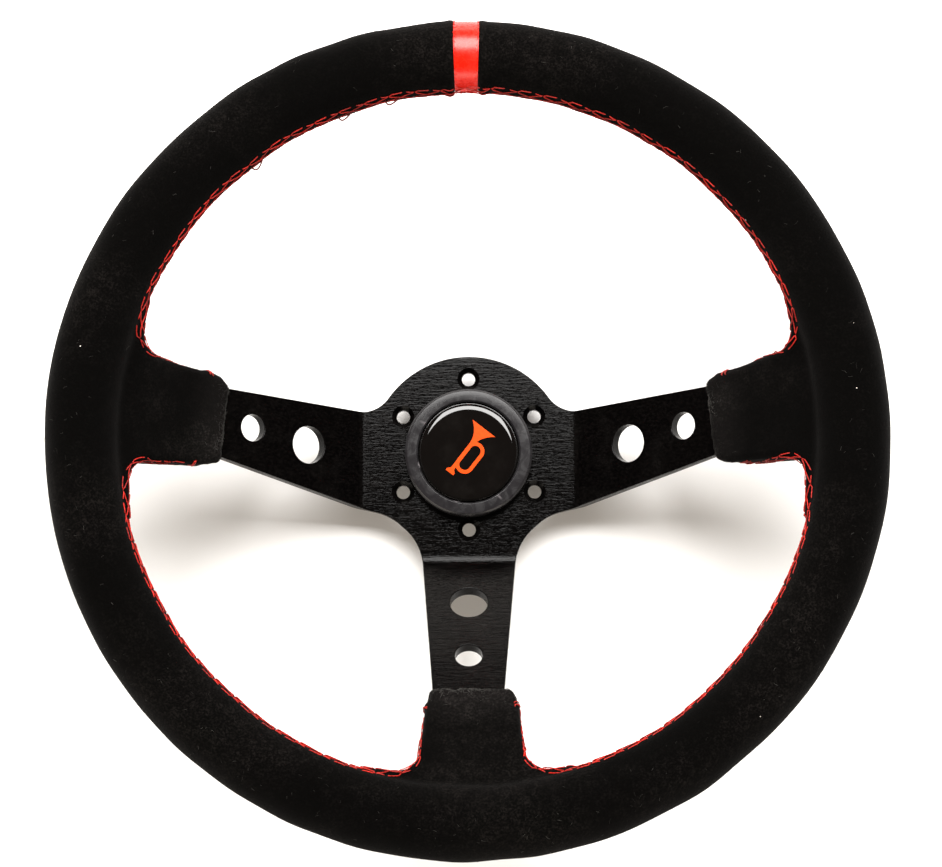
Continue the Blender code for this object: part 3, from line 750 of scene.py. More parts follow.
def make_spoke_plate():
    """The folded plate, with softened edges, round holes and real countersinks."""
    bolts = ring_of(6, 30, 35)
    outlines = [plate_outline(), circle((0, 0), BORE_RADIUS)]
    outlines += [circle(bolt, 3.1 * MM) for bolt in bolts]
    for side, (out, across) in SPOKES.items():
        for down, w, radius in PLATE_HOLES[side]:
            centre = (out * flat_run(-down * MM) + across * w * MM).to_2d()
            outlines.append(circle(centre, radius * MM))
    mesh = flat_plate(outlines, PLATE_THICKNESS, 0.45 * MM)
    top = PLATE_THICKNESS / 2
    over = 0.2 * MM
    wide = 5.15 * MM + over
    mesh = drilled(mesh, bolts, top - 3.0 * MM, top + over, wide - 3.2 * MM, wide)
    lines = 14
    planes = []
    for out, _ in SPOKES.values():
        for line in range(-1, lines + 2):
            planes.append((out * (BEND_START + BEND_ARC * line / lines), out))
    cut_lines(mesh, planes)
    for vertex in mesh.vertices:
        vertex.co = bent(vertex.co) + Vector((0, 0, PLATE_Z))
    plate = finish_piece("brushed_spoke_plate", mesh, "black_anodised", replaced=("spoke_plate",), angle=40)
    weighted = plate.modifiers.new("flat_faces", "WEIGHTED_NORMAL")
    weighted.keep_sharp = True
    weighted.weight = 80


# Suede cover


def spoke_axes(side):
    """Out, across, along and normal directions of a spoke, as rows."""
    out, across = (np.array(vector) for vector in SPOKES[side])
    up = np.array((0.0, 0.0, 1.0))
    along = out * math.cos(SLOPE) + up * math.sin(SLOPE)
    normal = up * math.cos(SLOPE) - out * math.sin(SLOPE)
    return out, across, along, normal


def rim_point(side):
    """Where a spoke's middle line meets the rim's centre line."""
    return spoke_axes(side)[0] * RIM_RADIUS + np.array((0, 0, RIM_Z))


def eased(share):
    """A share from 0 to 1, softened at both ends."""
    return share * share * (3 - 2 * share)


def follow_rim(s, w):
    """How far the wing's cross lines sag to follow the curve of the rim."""
    share = eased(np.clip((s + 50 * MM) / (35 * MM), 0, 1))
    return (RIM_RADIUS - np.sqrt(np.maximum(RIM_RADIUS**2 - w * w, 0))) * share


def wing_rise(s):
    """0 at the wing's mouth, 1 where it is as thick as at its root."""
    return np.clip((s + WING_LENGTH) / (WING_LENGTH - 20 * MM), 0, 1)


def wing_corners(side):
    """Outline of a wing over a spoke end, in the spoke's frame, in millimetres: upper edge, root
    inside the rim, lower edge."""
    if side == "bottom":
        shift = 1.5
        half = [(-65.0, 17.5, 3.0), (-57.0, 20.2, 8), (-41.0, 20.8, 20), (-18.5, 23.4, 12)]
        upper = [(s, w + shift, radius) for s, w, radius in half]
        lower = [(s, shift - w, radius) for s, w, radius in reversed(half)]
        flare = (44.0, -44.0)
    else:
        upper = [(-68.8, 26.0, 3.5), (-63.5, 29.0, 5), (-55.0, 30.4, 10), (-18.5, 35.8, 12)]
        lower = [(-18.5, -10.8, 10), (-54.0, -10.4, 8), (-64.0, -8.6, 3.0)]
        flare = (56.0, -36.0)
    root = -GRIP_RADIUS / MM
    inner = [(root, flare[0], 0), (-4.0, flare[0], 0), (-4.0, flare[1], 0), (root, flare[1], 0)]
    return upper, inner, lower


OUTLINES = {side: np.array(rounded(sum(wing_corners(side), []))) * MM for side in SPOKES}


def polygon_distance(outline, x, y):
    """Signed distance of points from a closed outline, negative inside."""
    nearest = np.full(len(x), 1.0)
    inside = np.zeros(len(x), bool)
    for (ax, ay), (bx, by) in zip(outline, np.roll(outline, -1, axis=0)):
        dx, dy = bx - ax, by - ay
        length = dx * dx + dy * dy
        if length < 1e-16:
            continue
        t = np.clip(((x - ax) * dx + (y - ay) * dy) / length, 0, 1)
        nearest = np.minimum(nearest, (x - ax - t * dx) ** 2 + (y - ay - t * dy) ** 2)
        if dy != 0:
            inside ^= ((ay > y) != (by > y)) & (x < ax + (y - ay) * dx / dy)
    return np.where(inside, -1, 1) * np.sqrt(nearest)


def smooth_least(a, b, soft):
    """The lesser of two distances, rounded where they meet."""
    share = np.maximum(soft - np.abs(a - b), 0) / soft
    return np.minimum(a, b) - share * share * soft / 4


def smooth_most(a, b, soft):
    """The greater of two distances, rounded where they meet."""
    return -smooth_least(-a, -b, soft)


def unit(rows):
    """Rows scaled to a length of one."""
    return rows / np.linalg.norm(rows, axis=1)[:, None]


def ripples(seed, count, wavelength):
    """Directions and phases of a set of random waves."""
    chance = np.random.default_rng(seed)
    ways = unit(chance.normal(size=(count, 3)))
    pitch = 2 * math.pi / wavelength * chance.uniform(0.7, 1.5, (count, 1))
    return ways * pitch, chance.uniform(0, 2 * math.pi, count)


SWELL = ripples(3, 14, 34 * MM)
CREASE = ripples(5, 16, 6.5 * MM)


def waving(points, waves):
    """Smooth random value of about -1 to 1 at each point."""
    ways, phases = waves
    return np.sin(points @ ways.T + phases).sum(1) / math.sqrt(len(phases))


def in_spoke(side, points):
    """A spoke's own s, w and n of points."""
    _, across, along, normal = spoke_axes(side)
    local = points - rim_point(side)
    return local @ along, local @ across, local @ normal


def near_spoke(side, points, before, after, half):
    """Which points lie round a spoke's end, by limits in millimetres."""
    s, w, _ = in_spoke(side, points)
    return (s > -WING_LENGTH - before * MM) & (s < after * MM) & (np.abs(w) < half * MM)


def wing_distance(side, points):
    """Distance from a wing: a flat slab that thickens towards the rim and follows its curve."""
    edge = 3.4 * MM
    s_world, w, n = in_spoke(side, points)
    s = s_world
    for _ in range(3):
        s = s_world + follow_rim(s, w) * math.cos(SLOPE)
    rise = wing_rise(s)
    n = n - follow_rim(s, w) * math.sin(SLOPE) + MM * rise
    ragged = np.clip((-s - 44 * MM) / (14 * MM), 0, 1) * 0.33 * MM * waving(points, CREASE)
    flat = polygon_distance(OUTLINES[side], s, w) + edge + ragged
    thick = np.abs(n) - (MOUTH_HALF + (ROOT_HALF - MOUTH_HALF) * rise) + edge
    outside = np.hypot(np.maximum(flat, 0), np.maximum(thick, 0))
    return outside + np.minimum(np.maximum(flat, thick), 0) - edge


def slot_distance(side, points):
    """Distance from the room that a spoke's plate takes inside its wing."""
    fit = 0.15 * MM
    s, w, n = in_spoke(side, points)
    low, high = edge_width(side, s)
    flat = np.maximum(low - fit - w, w - high - fit)
    ends = np.maximum(s + SPOKE_END - fit, -s - WING_LENGTH - 12 * MM)
    return np.maximum(np.maximum(flat, ends), np.abs(n) - PLATE_THICKNESS / 2 - fit)


def cover_distance(points, whole=False):
    """Signed distance from the outside of the suede cover, negative within it; a whole cover
    has no gap for the centre band."""
    top = points[:, 1] > 0
    radial = np.hypot(points[:, 0], points[:, 1])
    body = np.hypot(radial - RIM_RADIUS - COVER_OUTSET, points[:, 2] - RIM_Z) - GRIP_RADIUS
    reach = np.abs(points[:, 0] - BAND_SHIFT) - BAND_HALF
    hem = np.exp(-(((reach - 1.9 * MM) / (1.6 * MM)) ** 2)) * top
    inner = np.clip((RIM_RADIUS - radial) / GRIP_RADIUS, 0, 1)
    body -= hem * (0.3 + 0.5 * inner) * MM
    for side in SPOKES:
        near = near_spoke(side, points, 10, 25, 75)
        if near.any():
            wing = np.full(len(points), 1.0)
            wing[near] = wing_distance(side, points[near])
            body = smooth_least(body, wing, 2.5 * MM)
    body -= 0.22 * MM * waving(points, SWELL)
    for side in SPOKES:
        near = near_spoke(side, points, 14, -15, 40)
        if near.any():
            body[near] = smooth_most(body[near], -slot_distance(side, points[near]), 1.2 * MM)
    if whole:
        return body + 0.2 * MM * np.clip(-reach / MM, 0, 1) * inner * top
    gap = np.where(top, 0.1 * MM - reach, -1.0)
    return smooth_most(body, gap, 1.0 * MM)


def slope_of(points, whole=False, step=0.05 * MM):
    """Distance, outward direction and steepness of the cover's surface at points."""
    centre = cover_distance(points, whole)
    gradient = np.empty_like(points)
    for axis in range(3):
        moved = points.copy()
        moved[:, axis] += step
        gradient[:, axis] = (cover_distance(moved, whole) - centre) / step
    size = np.linalg.norm(gradient, axis=1)[:, None]
    return centre, gradient / np.maximum(size, 1e-6), size[:, 0]


def onto_cover(points, lift=0.0, rounds=4, whole=False):
    """Points moved onto the cover's surface, then lifted off it; also the outward direction."""
    for _ in range(rounds):
        distance, outward, size = slope_of(points, whole)
        points = points - outward * (distance / np.clip(size, 0.5, 2))[:, None]
    outward = slope_of(points, whole)[1]
    lift = np.broadcast_to(lift, len(points))
    return points + outward * lift[:, None], outward


def net_surface(name, measure, step, settle=None):
    """A mesh of quads over the surface where a distance is zero: one vertex in each grid cell that
    the surface crosses, settled onto it if asked, joined across the grid edges that it cuts."""
    room = 4 * MM
    reach = RIM_RADIUS + GRIP_RADIUS + room
    low = (-reach, -reach, COVER_LOW.z - room)
    high = (reach, reach, COVER_HIGH.z + room)
    axes = [np.arange(a, b + step, step) for a, b in zip(low, high)]
    counts = [len(axis) for axis in axes]
    field = np.empty(counts)
    grid_x, grid_y = np.meshgrid(axes[0], axes[1], indexing="ij")
    for index, z in enumerate(axes[2]):
        layer = np.column_stack([grid_x.ravel(), grid_y.ravel(), np.full(grid_x.size, z)])
        field[:, :, index] = measure(layer).reshape(counts[:2])
    within = field < 0
    cells = np.array(counts) - 1
    total = np.zeros(cells, int)
    for a, b, c in np.ndindex(2, 2, 2):
        total += within[a:a + cells[0], b:b + cells[1], c:c + cells[2]]
    mixed = (total > 0) & (total < 8)
    places = np.argwhere(mixed)
    number_of = np.full(cells, -1)
    number_of[mixed] = np.arange(len(places))
    vertices = (places + 0.5) * step + np.array([axis[0] for axis in axes])
    if settle:
        vertices, _ = settle(vertices)
    quads = []
    for axis in range(3):
        others = [(axis + 1) % 3, (axis + 2) % 3]
        edges = np.argwhere(np.diff(within, axis=axis))
        kept = (edges[:, others] > 0) & (edges[:, others] < cells[others])
        edges = edges[kept.all(1)]
        ring = []
        for back in ((1, 1), (0, 1), (0, 0), (1, 0)):
            cell = edges.copy()
            cell[:, others] -= back
            ring.append(number_of[tuple(cell.T)])
        ring = np.stack(ring, axis=1)
        flip = ~within[tuple(edges.T)]
        ring[flip] = ring[flip][:, ::-1]
        quads.append(ring)
    mesh = bpy.data.meshes.new(name)
    mesh.from_pydata(vertices.tolist(), [], np.concatenate(quads).tolist())
    return mesh


def foam_distance(points):
    """Signed distance from the foam grip: inside the cover, round the ring and clear of the plates."""
    ring_low, ring_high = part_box("rim_ring")
    ring = (ring_high.z - ring_low.z) / 2 + 0.1 * MM
    radial = np.hypot(points[:, 0], points[:, 1])
    hollow = ring - np.hypot(radial - RIM_RADIUS, points[:, 2] - RIM_Z)
    return np.maximum(cover_distance(points, True) + 1.6 * MM, hollow)


def make_foam_grip():
    """Moulded foam under the cover, seen a little at its edges."""
    mesh = net_surface("foam", foam_distance, 3.0 * MM)
    every_way = {"use_axis_" + axis: True for axis in "xyz"}
    with edited(mesh) as work:
        for _ in range(4):
            bmesh.ops.smooth_vert(work, verts=work.verts, factor=0.5, **every_way)
    foam = finish_piece("foam_grip", mesh, "moulded_foam", replaced=("rim_foam",), angle=70)


def make_cover():
    """The whole suede cover as one fine surface."""
    mesh = net_surface("cover", cover_distance, (1.3) * MM, onto_cover)
    cover = finish_piece("suede_grip_cover", mesh, "black_suede", replaced=("suede_cover",), angle=70)


# Stitching


def smoothed(line, width):
    """An open line of evenly spaced points, averaged over a few neighbours; its ends stay."""
    for _ in range(width):
        line = np.vstack([line[:1], (line[:-2] + 2 * line[1:-1] + line[2:]) / 4, line[-1:]])
    return line


def reaches(line):
    """Distance along a line of each of its points."""
    return np.concatenate([[0], np.cumsum(np.linalg.norm(np.diff(line, axis=0), axis=1))])


def read_off(stations, reach, rows):
    """Rows of values read off at distances along a line."""
    return np.column_stack([np.interp(stations, reach, column) for column in rows.T])


def evenly(line, spacing):
    """An open line resampled at an even spacing."""
    reach = reaches(line)
    return read_off(np.linspace(0, reach[-1], max(2, round(reach[-1] / spacing))), reach, line)


def wing_edge(side, upper):
    """A wing's edge at mid-thickness from its mouth to the rim, in world coordinates."""
    high, inner, low = wing_corners(side)
    line = high + inner[:1] if upper else low[::-1] + inner[-1:]
    points = [line[0][:2]]
    for before, here, after in zip(line, line[1:], line[2:]):
        points += rounded([(*before[:2], 0), here, (*after[:2], 0)])[1:-1]
    s, w = np.array(points + [line[-1][:2]]).T * MM
    sag = follow_rim(s, w)
    n = sag * math.sin(SLOPE) - MM * wing_rise(s)
    _, across, along, normal = spoke_axes(side)
    sloped = np.outer(s - sag * math.cos(SLOPE), along)
    return rim_point(side) + sloped + np.outer(w, across) + np.outer(n, normal)


def window_line(first, second, start, end):
    """The line round a window where the cover turns from front to rear: along one wing, the rim
    between two angles, and back along the next wing."""
    head = wing_edge(*first)
    tail = wing_edge(*second)[::-1]
    limit = RIM_RADIUS - GRIP_RADIUS
    head = head[: int(np.argmax(np.hypot(head[:, 0], head[:, 1]) > limit - 2 * MM))]
    keep = np.hypot(tail[:, 0], tail[:, 1]) > limit - 2 * MM
    tail = tail[len(keep) - int(np.argmax(keep[::-1])):]
    angles = np.radians(np.linspace(start, end, 120))
    rim = np.column_stack([limit * np.cos(angles), limit * np.sin(angles), np.full(120, RIM_Z)])
    guide = smoothed(evenly(np.vstack([head, rim, tail]), MM), 14)
    way = unit(np.gradient(guide[:, :2], axis=0))
    inward = np.column_stack([-way[:, 1], way[:, 0], np.zeros(len(way))])
    centre = rim[60] * 0.75
    if ((centre - guide) * inward).sum() < 0:
        inward = -inward
    heights = np.linspace(-14, 14, 29) * MM
    base = guide[:, None, :] + inward[:, None, :] * 9 * MM + heights[None, :, None] * np.array((0, 0, 1.0))
    reach = np.zeros(base.shape[:2])
    for _ in range(9):
        spots = base - inward[:, None, :] * reach[..., None]
        distance = cover_distance(spots.reshape(-1, 3), True).reshape(reach.shape)
        reach = np.minimum(reach + np.maximum(distance, 0), 24 * MM)
    best = reach.argmin(axis=1)
    rows = np.arange(len(best))
    return smoothed(base[rows, best] - inward * reach[rows, best][:, None], 10)


class Seam:
    """A seam line on the cover that stitches are placed along."""

    def __init__(self, line):
        self.line = evenly(line, MM)
        self.reach = reaches(self.line)
        self.length = self.reach[-1]
        outward = onto_cover(self.line, whole=True)[1]
        side = np.cross(unit(np.gradient(self.line, axis=0)), outward)
        side *= np.sign(side[:, 2:3])
        self.side = smoothed(side, 6)

    def at(self, u, v):
        """Points a distance u along the seam and v to its front side, not yet on the cover."""
        place = read_off(u, self.reach, self.line)
        return place + read_off(u, self.reach, self.side) * np.asarray(v, float)[:, None]


def thread_run(seam, ends, lift=0.16 * MM, dip=0.45 * MM, spacing=0.4 * MM):
    """A thread lying on the cover through (u, v) places, its two ends sunk in their holes."""
    path = evenly(np.array(ends), spacing)
    count = len(path)
    share = np.linspace(0, 1, count)
    sink = np.clip(np.minimum(share, 1 - share) * count * spacing / (0.7 * MM), 0, 1)
    lifts = -dip + (lift + dip) * sink * (2 - sink)
    return onto_cover(seam.at(path[:, 0], path[:, 1]), lifts, rounds=3, whole=True)


def thread_mesh(runs, wide=THREAD_WIDE, flat=THREAD_FLAT, pitch=3.2 * MM):
    """Twisted two-ply thread along each run of points, as one mesh of closed tubes."""
    sides = 8
    vertices = []
    faces = []
    for line, outward in runs:
        way = unit(np.gradient(line, axis=0))
        across = unit(np.cross(way, outward))
        up = np.cross(across, way)
        first = len(vertices)
        for place, reach, sideways, upward in zip(line, reaches(line), across, up):
            twist = 2 * math.pi * reach / pitch
            for corner in range(sides):
                angle = 2 * math.pi * corner / sides
                a, b = wide * math.cos(angle), flat * math.sin(angle)
                x = a * math.cos(twist) - b * math.sin(twist)
                y = a * math.sin(twist) + b * math.cos(twist)
                vertices.append(place + sideways * x + upward * y)
        last = len(vertices) - sides
        for ring in range(first, last, sides):
            for corner in range(sides):
                a, b = ring + corner, ring + (corner + 1) % sides
                faces.append((a, b, b + sides, a + sides))
        faces.append(tuple(range(first + sides - 1, first - 1, -1)))
        faces.append(tuple(range(last, last + sides)))
    return new_mesh("thread", vertices, faces)


def cross_stitches(seam, chance):
    """Edge stitches in a row each side of the seam, laced together across it."""
    period = 11.0 * MM
    row = 3.3 * MM
    hole = 2.2 * MM
    margin = 2.0 * MM
    count = int((seam.length - 2 * margin) / period)
    start = (seam.length - count * period) / 2
    runs = []
    for index in range(count):
        u = start + index * period + chance.uniform(-0.4, 0.4) * MM
        for sign in (1, -1):
            v = sign * (row + chance.uniform(-0.25, 0.25) * MM)
            runs.append(thread_run(seam, [(u, v), (u + 4.9 * MM, v + chance.uniform(-0.2, 0.2) * MM)]))
            knot = (u + 6.0 * MM, sign * hole)
            runs.append(thread_run(seam, [(u + 4.5 * MM, v), knot]))
            runs.append(thread_run(seam, [knot, (u + 9.6 * MM, sign * (row - 0.2 * MM))]))
            if index + 1 < count:
                far = (u + 6.0 * MM + period, -sign * hole)
                lift = 0.16 * MM if sign > 0 else 0.42 * MM
                runs.append(thread_run(seam, [(u + 6.3 * MM, sign * hole), far], lift=lift))
    return runs


def end_knots(seam):
    """A small knot of three short stitches at each end of a seam."""
    runs = []
    for u, way in ((0.6 * MM, 1), (seam.length - 0.6 * MM, -1)):
        for shift, lean in ((0.0, 0.4), (0.9, 1.2), (1.7, 0.2)):
            near = (u + way * shift * MM, -1.6 * MM)
            far = (u + way * (shift + lean) * MM, 6.4 * MM)
            runs.append(thread_run(seam, [near, far], lift=0.3 * MM))
    return runs


def loose_loop(seam, u, length, hang):
    """A slack loop of thread standing off the seam."""
    share = np.linspace(0, 1, 40)
    arch = np.sin(share * math.pi)
    along = u + length * (share - 0.5) + 0.25 * length * arch
    line = seam.at(along, np.full(40, -0.5 * MM))
    return onto_cover(line, -0.2 * MM + hang * arch**0.8, rounds=3, whole=True)


def shifted(line, shifts):
    """A seam line moved to its front side by its own amount at its start, middle and end."""
    seam = Seam(line)
    ease = 45 * MM
    head = eased(np.clip(1 - seam.reach / ease, 0, 1))
    tail = eased(np.clip(1 - (seam.length - seam.reach) / ease, 0, 1))
    first, middle, last = (shift * MM for shift in shifts)
    v = middle + (first - middle) * head + (last - middle) * tail
    return smoothed(onto_cover(seam.at(seam.reach, v), whole=True)[0], 4)


# For each window: the wings it runs between, the rim's angles, where slack loops hang, how far the
# seam lies to the front at its start, middle and end, and how far it stops from each mouth
WINDOWS = {
    "top": (
        ("right", True), ("left", True), (18, 162), (0.292, 0.385, 0.431), (-6.2, 1.5, -6.2), (8.5, 8.5)
    ),
    "left": (("left", False), ("bottom", False), (195, 252), (), (-0.8, 0.8, -3.4), (9.5, 6.0)),
    "right": (("bottom", True), ("right", False), (288, 345), (), (-4.0, 0.8, -0.8), (6.0, 9.5)),
}


def make_stitching():
    """Red cross stitching round each window, with a few slack loops in the top one."""
    chance = np.random.default_rng(11)
    for name, (first, second, angles, loops, shifts, clear) in WINDOWS.items():
        line = evenly(window_line(first, second, *angles), MM)
        line = line[round(clear[0]): -round(clear[1])]
        seam = Seam(shifted(line, shifts))
        mesh = thread_mesh(cross_stitches(seam, chance) + end_knots(Seam(line)))
        node = "seam_thread_" + name
        finish_piece("cross_stitching_" + name, mesh, "red_thread", replaced=(node,), angle=70)
        slack = [loose_loop(seam, seam.length * (1 - share), 6.5 * MM, 2.6 * MM) for share in loops]
        if slack:
            thin = thread_mesh(slack, 0.36 * MM, 0.36 * MM, 40 * MM)
            finish_piece("slack_thread_loops", thin, "slack_thread", angle=70)


# Centre band


def round_grip(x, tip, centre, reach):
    """A point round the grip near 12 o'clock: its place across the band and its angle."""
    turn = math.asin(x / RIM_RADIUS)
    distance = centre + reach * math.cos(tip)
    return distance * math.sin(turn), distance * math.cos(turn), RIM_Z + reach * math.sin(tip)


def band_surface(width, radius, centre, thickness, across=14, around=96):
    """A closed ring of leather round the grip at 12 o'clock, its edges rolled in."""
    vertices = []
    rows = across + 1
    for layer in (0, 1):
        for i in range(rows):
            share = 2 * i / across - 1
            roll = 0.25 * MM * max(0.0, abs(share) - 0.8) ** 2 / 0.04
            reach = radius - (roll if layer == 0 else thickness)
            for j in range(around):
                x = share * width / 2 + BAND_SHIFT
                vertices.append(round_grip(x, 2 * math.pi * j / around, centre, reach))
    strips = [(i, i + 1) for i in range(across)]
    strips += [(rows + i + 1, rows + i) for i in range(across)]
    strips += [(rows, 0), (across, rows + across)]
    faces = []
    for one, other in strips:
        for j in range(around):
            k = (j + 1) % around
            faces.append((one * around + j, one * around + k, other * around + k, other * around + j))
    return new_mesh("band", vertices, faces)


def make_band():
    """Red leather band at 12 o'clock, with a fine row of stitches along each edge."""
    radius = GRIP_RADIUS - 0.15 * MM
    centre = RIM_RADIUS + 0.45 * MM
    mesh = band_surface(2 * BAND_HALF + 0.5 * MM, radius, centre, 1.1 * MM)
    finish_piece("leather_centre_band", mesh, "red_leather", replaced=("centre_band",), angle=60)
    pitch = 2.8 * MM
    count = round(2 * math.pi * radius / pitch)
    runs = []
    for sign in (1, -1):
        for index in range(count):
            angle = 2 * math.pi * (index + 0.25 * sign) / count
            line = []
            ways = []
            for share in np.linspace(0, 1, 7):
                x = BAND_SHIFT + sign * (BAND_HALF - 0.1 * MM - 0.6 * MM * share)
                tip = angle + 0.05 * share
                lift = 0.1 * MM * math.sin(share * math.pi) - 0.05 * MM
                line.append(round_grip(x, tip, centre, radius + lift))
                ways.append((0, math.cos(tip), math.sin(tip)))
            runs.append((np.array(line), np.array(ways)))
    thread = thread_mesh(runs, 0.17 * MM, 0.14 * MM, 3.0 * MM)
    finish_piece("band_edge_stitches", thread, "red_leather", angle=70)


# Horn button

# Round pieces: finish, body, CAD node and profile above the plate's front
ROUND_PIECES = {
    "satin_bezel": (
        "satin_black", "wheel", "horn_bezel",
        [(28.2, 8.4, 0.7), (29.2, 7.4, 0.4), (29.4, 0.3, 0.2), (26.7, 0.3, 0), (26.7, -6.5, 0.3),
         (24.8, -6.5, 0.3), (24.8, 2.8, 0), (23.2, 2.8, 0), (23.2, 7.9, 0.3), (23.9, 8.6, 0.35)],
    ),
    "gloss_cap": (
        "gloss_black", "button", "horn_cap",
        [(0, 8.2, 0), (22.6, 8.2, 0.35), (22.6, 2.4, 0), (24.3, 2.4, 0.15), (24.3, 0.6, 0.15),
         (20.5, 0.6, 0.2), (20.5, 5.7, 0), (0, 5.7, 0)],
    ),
}

# Pieces with holes for the base screws: CAD node and profile above the table
DRILLED_PIECES = {
    "rear_collar": (
        "horn_housing",
        [(29.3, 14.7, 0.2), (29.3, 0, 0.7), (27.0, 0, 0.4), (27.0, 10.5, 0), (22.0, 10.5, 0.3),
         (22.0, 12.7, 0.3), (27.0, 12.7, 0), (27.0, 14.7, 0.2)],
    ),
    "switch_base_plate": ("horn_base", [(0, 10.2, 0), (26.7, 10.2, 0.3), (26.7, 7.8, 0.3), (0, 7.8, 0)]),
}

SCREW_SPOTS = ring_of(3, 90, 24.3)
SCREW_PROFILE = [
    (0, 12.4, 0), (1.0, 12.4, 0.2), (1.25, 11.9, 0), (1.25, 7.5, 0), (2.4, 7.5, 0.1),
    (2.4, 6.6, 0.45), (1.8, 6.0, 0.5), (0, 6.0, 0),
]


def make_bezel_and_cap():
    """Satin ring round the button, down into the plate's bore, and the moving cap under the badge."""
    for name, (finish, body, node, corners) in ROUND_PIECES.items():
        mesh = turned(corners, floor=FRONT_Z)
        finish_piece(name, mesh, finish, body=body, replaced=(node,))


def badge_height(radius):
    """Height of the badge's clear dome: a slight crown, then a rounded shoulder."""
    if radius <= SHOULDER:
        return BADGE_TOP - CROWN * (radius / SHOULDER) ** 2
    begin = math.atan(2 * CROWN / SHOULDER)
    sine = math.sin(begin) + (radius - SHOULDER) / SHOULDER_ROUND
    return BADGE_TOP - CROWN - SHOULDER_ROUND * (math.cos(begin) - math.sqrt(1 - sine * sine))


def make_badge():
    """Polished domed badge on the cap."""
    radii = [BADGE_RADIUS * step / 40 / MM for step in range(41)]
    corners = [(r, (badge_height(r * MM) - FRONT_Z) / MM, 0) for r in radii]
    corners += [(BADGE_RADIUS / MM, 8.3, 0), (0, 8.3, 0)]
    mesh = turned(corners, steps=160, floor=FRONT_Z)
    node = "horn_badge"
    finish_piece("domed_badge", mesh, "badge_gloss", "button", replaced=(node,), angle=50)


def joined(parts):
    """Several meshes joined into one."""
    mesh, *others = parts
    for part in others:
        mesh = boolean(mesh, part, "UNION")
    return mesh


def bugle_outlines():
    """The bell, the pipe's loop and the mouthpiece of a small bugle, along X in millimetres."""
    steps = 16
    flare = [(1.0 + 11.0 * step / steps, 0.9 + 5.6 * (step / steps) ** 2.6) for step in range(steps + 1)]
    bell = flare + [(x, -y) for x, y in reversed(flare)]
    pipe = [(-11.5, -0.9), (1.5, -0.9), (1.5, 0.9), (-11.5, 0.9)]
    mouth = [(-13.6, -2.2), (-12.6, -2.2), (-11.3, -0.9), (-11.3, 0.9), (-12.6, 2.2), (-13.6, 2.2)]
    turns = []
    for outset in (0.85, -0.85):
        wide = 7.2 + outset
        tall = 3.4 + outset
        signs = ((-1, -1), (1, -1), (1, 1), (-1, 1))
        turns.append(rounded([(-2.6 + x * wide, -3.3 + y * tall, tall) for x, y in signs]))
    return [[bell], [pipe], [mouth], turns]


def make_inlaid_sign():
    """Generic horn sign, a small bugle, printed on the badge."""
    thickness = 0.3 * MM
    parts = []
    for shape in bugle_outlines():
        scaled = [[(x * MM, y * MM) for x, y in outline] for outline in shape]
        parts.append(flat_plate(scaled, thickness))
    mesh = joined(parts)
    planes = []
    for line in range(-16, 17):
        planes.append((Vector((line * MM, 0, 0)), Vector((1, 0, 0))))
        planes.append((Vector((0, line * MM, 0)), Vector((0, 1, 0))))
    cut_lines(mesh, planes)
    turn = Matrix.Rotation(math.radians(52), 3, "Z")
    shift = Vector((0.6 * MM, 0.9 * MM, 0))
    proud = 0.06 * MM
    for vertex in mesh.vertices:
        spot = turn @ (vertex.co + shift)
        above = proud if vertex.co.z > 0 else -thickness
        vertex.co = Vector((spot.x, spot.y, badge_height(math.hypot(spot.x, spot.y)) + above))
    finish_piece("orange_horn_sign", mesh, "orange_print", body="button", angle=50)


def make_housing():
    """Rear collar of the switch, and its base plate, with holes for three screws."""
    radius = 1.55 * MM
    for name, (node, corners) in DRILLED_PIECES.items():
        mesh = drilled(turned(corners), SCREW_SPOTS, 6 * MM, 13.5 * MM, radius, radius, 24)
        finish_piece(name, mesh, "black_plastic", replaced=(node,))


def make_return_spring():
    """Return coil between the base and the moving contact."""
    low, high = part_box("horn_spring")
    wire = 0.5 * MM
    coil = (high.x - low.x) / 2 - wire
    turns = 4.5
    share = np.linspace(0, 1, round(turns * 28))
    angle = 2 * math.pi * turns * share
    climb = np.clip((share * turns - 0.7) / (turns - 1.4), 0, 1)
    outward = np.stack([np.cos(angle), np.sin(angle), 0 * angle], axis=1)
    line = outward * coil
    line[:, 2] = low.z + wire + (high.z - low.z - 2 * wire) * climb
    mesh = thread_mesh([(line, outward)], wire, wire, 1.0)
    piece = finish_piece("coiled_return_spring", mesh, "plated_steel", replaced=("horn_spring",), angle=70)
    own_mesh(piece)


def cross_recess():
    """Cutter for a cross recess in a screw's head."""
    bars = []
    for wide, tall in ((2.6, 0.55), (0.55, 2.6)):
        bar = bpy.data.meshes.new("bar")
        with edited(bar) as work:
            bmesh.ops.create_cube(work, size=1)
            bmesh.ops.scale(work, vec=Vector((wide, tall, 1.6)) * MM, verts=work.verts)
        bars.append(bar)
    return joined(bars)


def make_screws():
    """Three pan-head screws with cross recesses."""
    for index, spot in enumerate(SCREW_SPOTS, 1):
        recess = cross_recess()
        recess.transform(Matrix.Translation((0, 0, 6.0 * MM)))
        mesh = boolean(turned(SCREW_PROFILE, steps=36), recess, "DIFFERENCE")
        mesh.transform(Matrix.Translation(spot) @ Matrix.Rotation(math.radians(23 * index), 4, "Z"))
        node = "base_screw_%d" % index
        finish_piece("pan_head_screw_%d" % index, mesh, "plated_steel", replaced=(node,))


# Loose fibres and the CAD nodes that stay


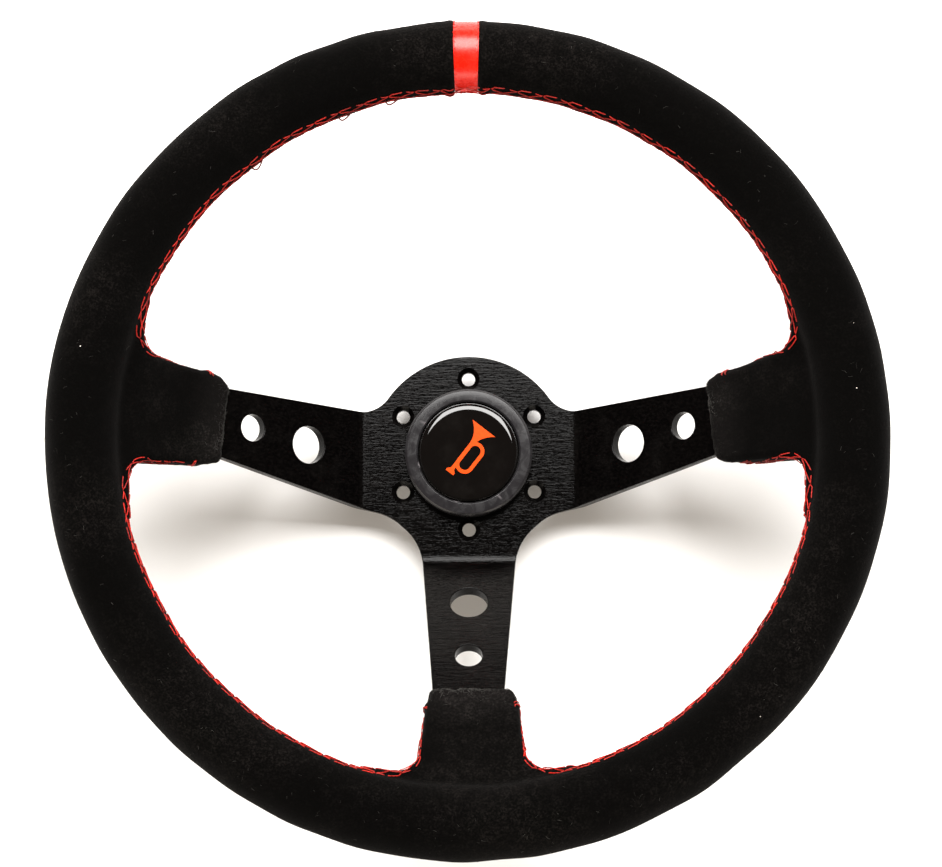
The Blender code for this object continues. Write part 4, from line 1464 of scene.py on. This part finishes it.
def make_fibres():
    """Short loose fibres of the nap, thickest at the three mouths of the cover."""
    chance = np.random.default_rng(29)
    roots = []
    ahead = []
    for side in SPOKES:
        _, across, along, normal = spoke_axes(side)
        high, _, low = wing_corners(side)
        for _ in range(230):
            share = chance.uniform(0, 1)
            s = high[0][0] + (low[-1][0] - high[0][0]) * share + chance.exponential(2.2) + 0.5
            w = high[0][1] + (low[-1][1] - high[0][1]) * share
            roots.append(rim_point(side) + (along * s + across * w + normal * 6.0) * MM)
            ahead.append(-along * 0.7 + across * chance.normal(0, 0.6) + normal * chance.uniform(0, 0.5))
    for _ in range(420):
        turn = chance.uniform(0, 2 * math.pi)
        tip = chance.normal(1.1, 0.7)
        if abs(math.degrees(turn) - 90) < 3:
            continue
        reach = RIM_RADIUS + GRIP_RADIUS * math.cos(tip)
        height = RIM_Z + GRIP_RADIUS * math.sin(tip)
        roots.append(np.array((reach * math.cos(turn), reach * math.sin(turn), height)))
        ahead.append(chance.normal(size=3))
    spots, outward = onto_cover(np.array(roots), whole=True)
    runs = []
    for spot, up, way in zip(spots, outward, ahead):
        flat = way - up * (way @ up)
        flat = flat / np.linalg.norm(flat)
        curl = np.cross(up, flat) * chance.normal(0, 0.5)
        length = chance.uniform(0.5, 1.9) * MM
        rise = chance.uniform(0.08, 0.4)
        share = np.linspace(0, 1, 6)[:, None]
        line = spot + up * (0.3 * share - 0.04) * rise * MM + (flat * share + curl * share**2) * length
        line = line + up * 0.05 * MM
        runs.append((line, np.repeat(up[None], 6, axis=0)))
    mesh = thread_mesh(runs, 0.045 * MM, 0.04 * MM, 1.0)
    finish_piece("loose_nap_fibres", mesh, "lint_fibre", angle=70)


def finish_frame_nodes():
    """Finishes of the CAD nodes that are shown as they are."""
    finishes = {
        ("rim_ring", "ring_lug", "spoke_rivet"): "bare_aluminium",
        ("moving_contact", "fixed_contact", "spade_terminal"): "brass",
    }
    for name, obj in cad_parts.items():
        for starts, finish in finishes.items():
            if name.startswith(starts):
                obj.data.materials.clear()
                obj.data.materials.append(FINISHES[finish])


make_camera()
make_studio()
make_spoke_plate()
make_foam_grip()
make_cover()
make_fibres()
make_stitching()
make_band()
make_bezel_and_cap()
make_badge()
make_inlaid_sign()
make_housing()
make_return_spring()
make_screws()
finish_frame_nodes()
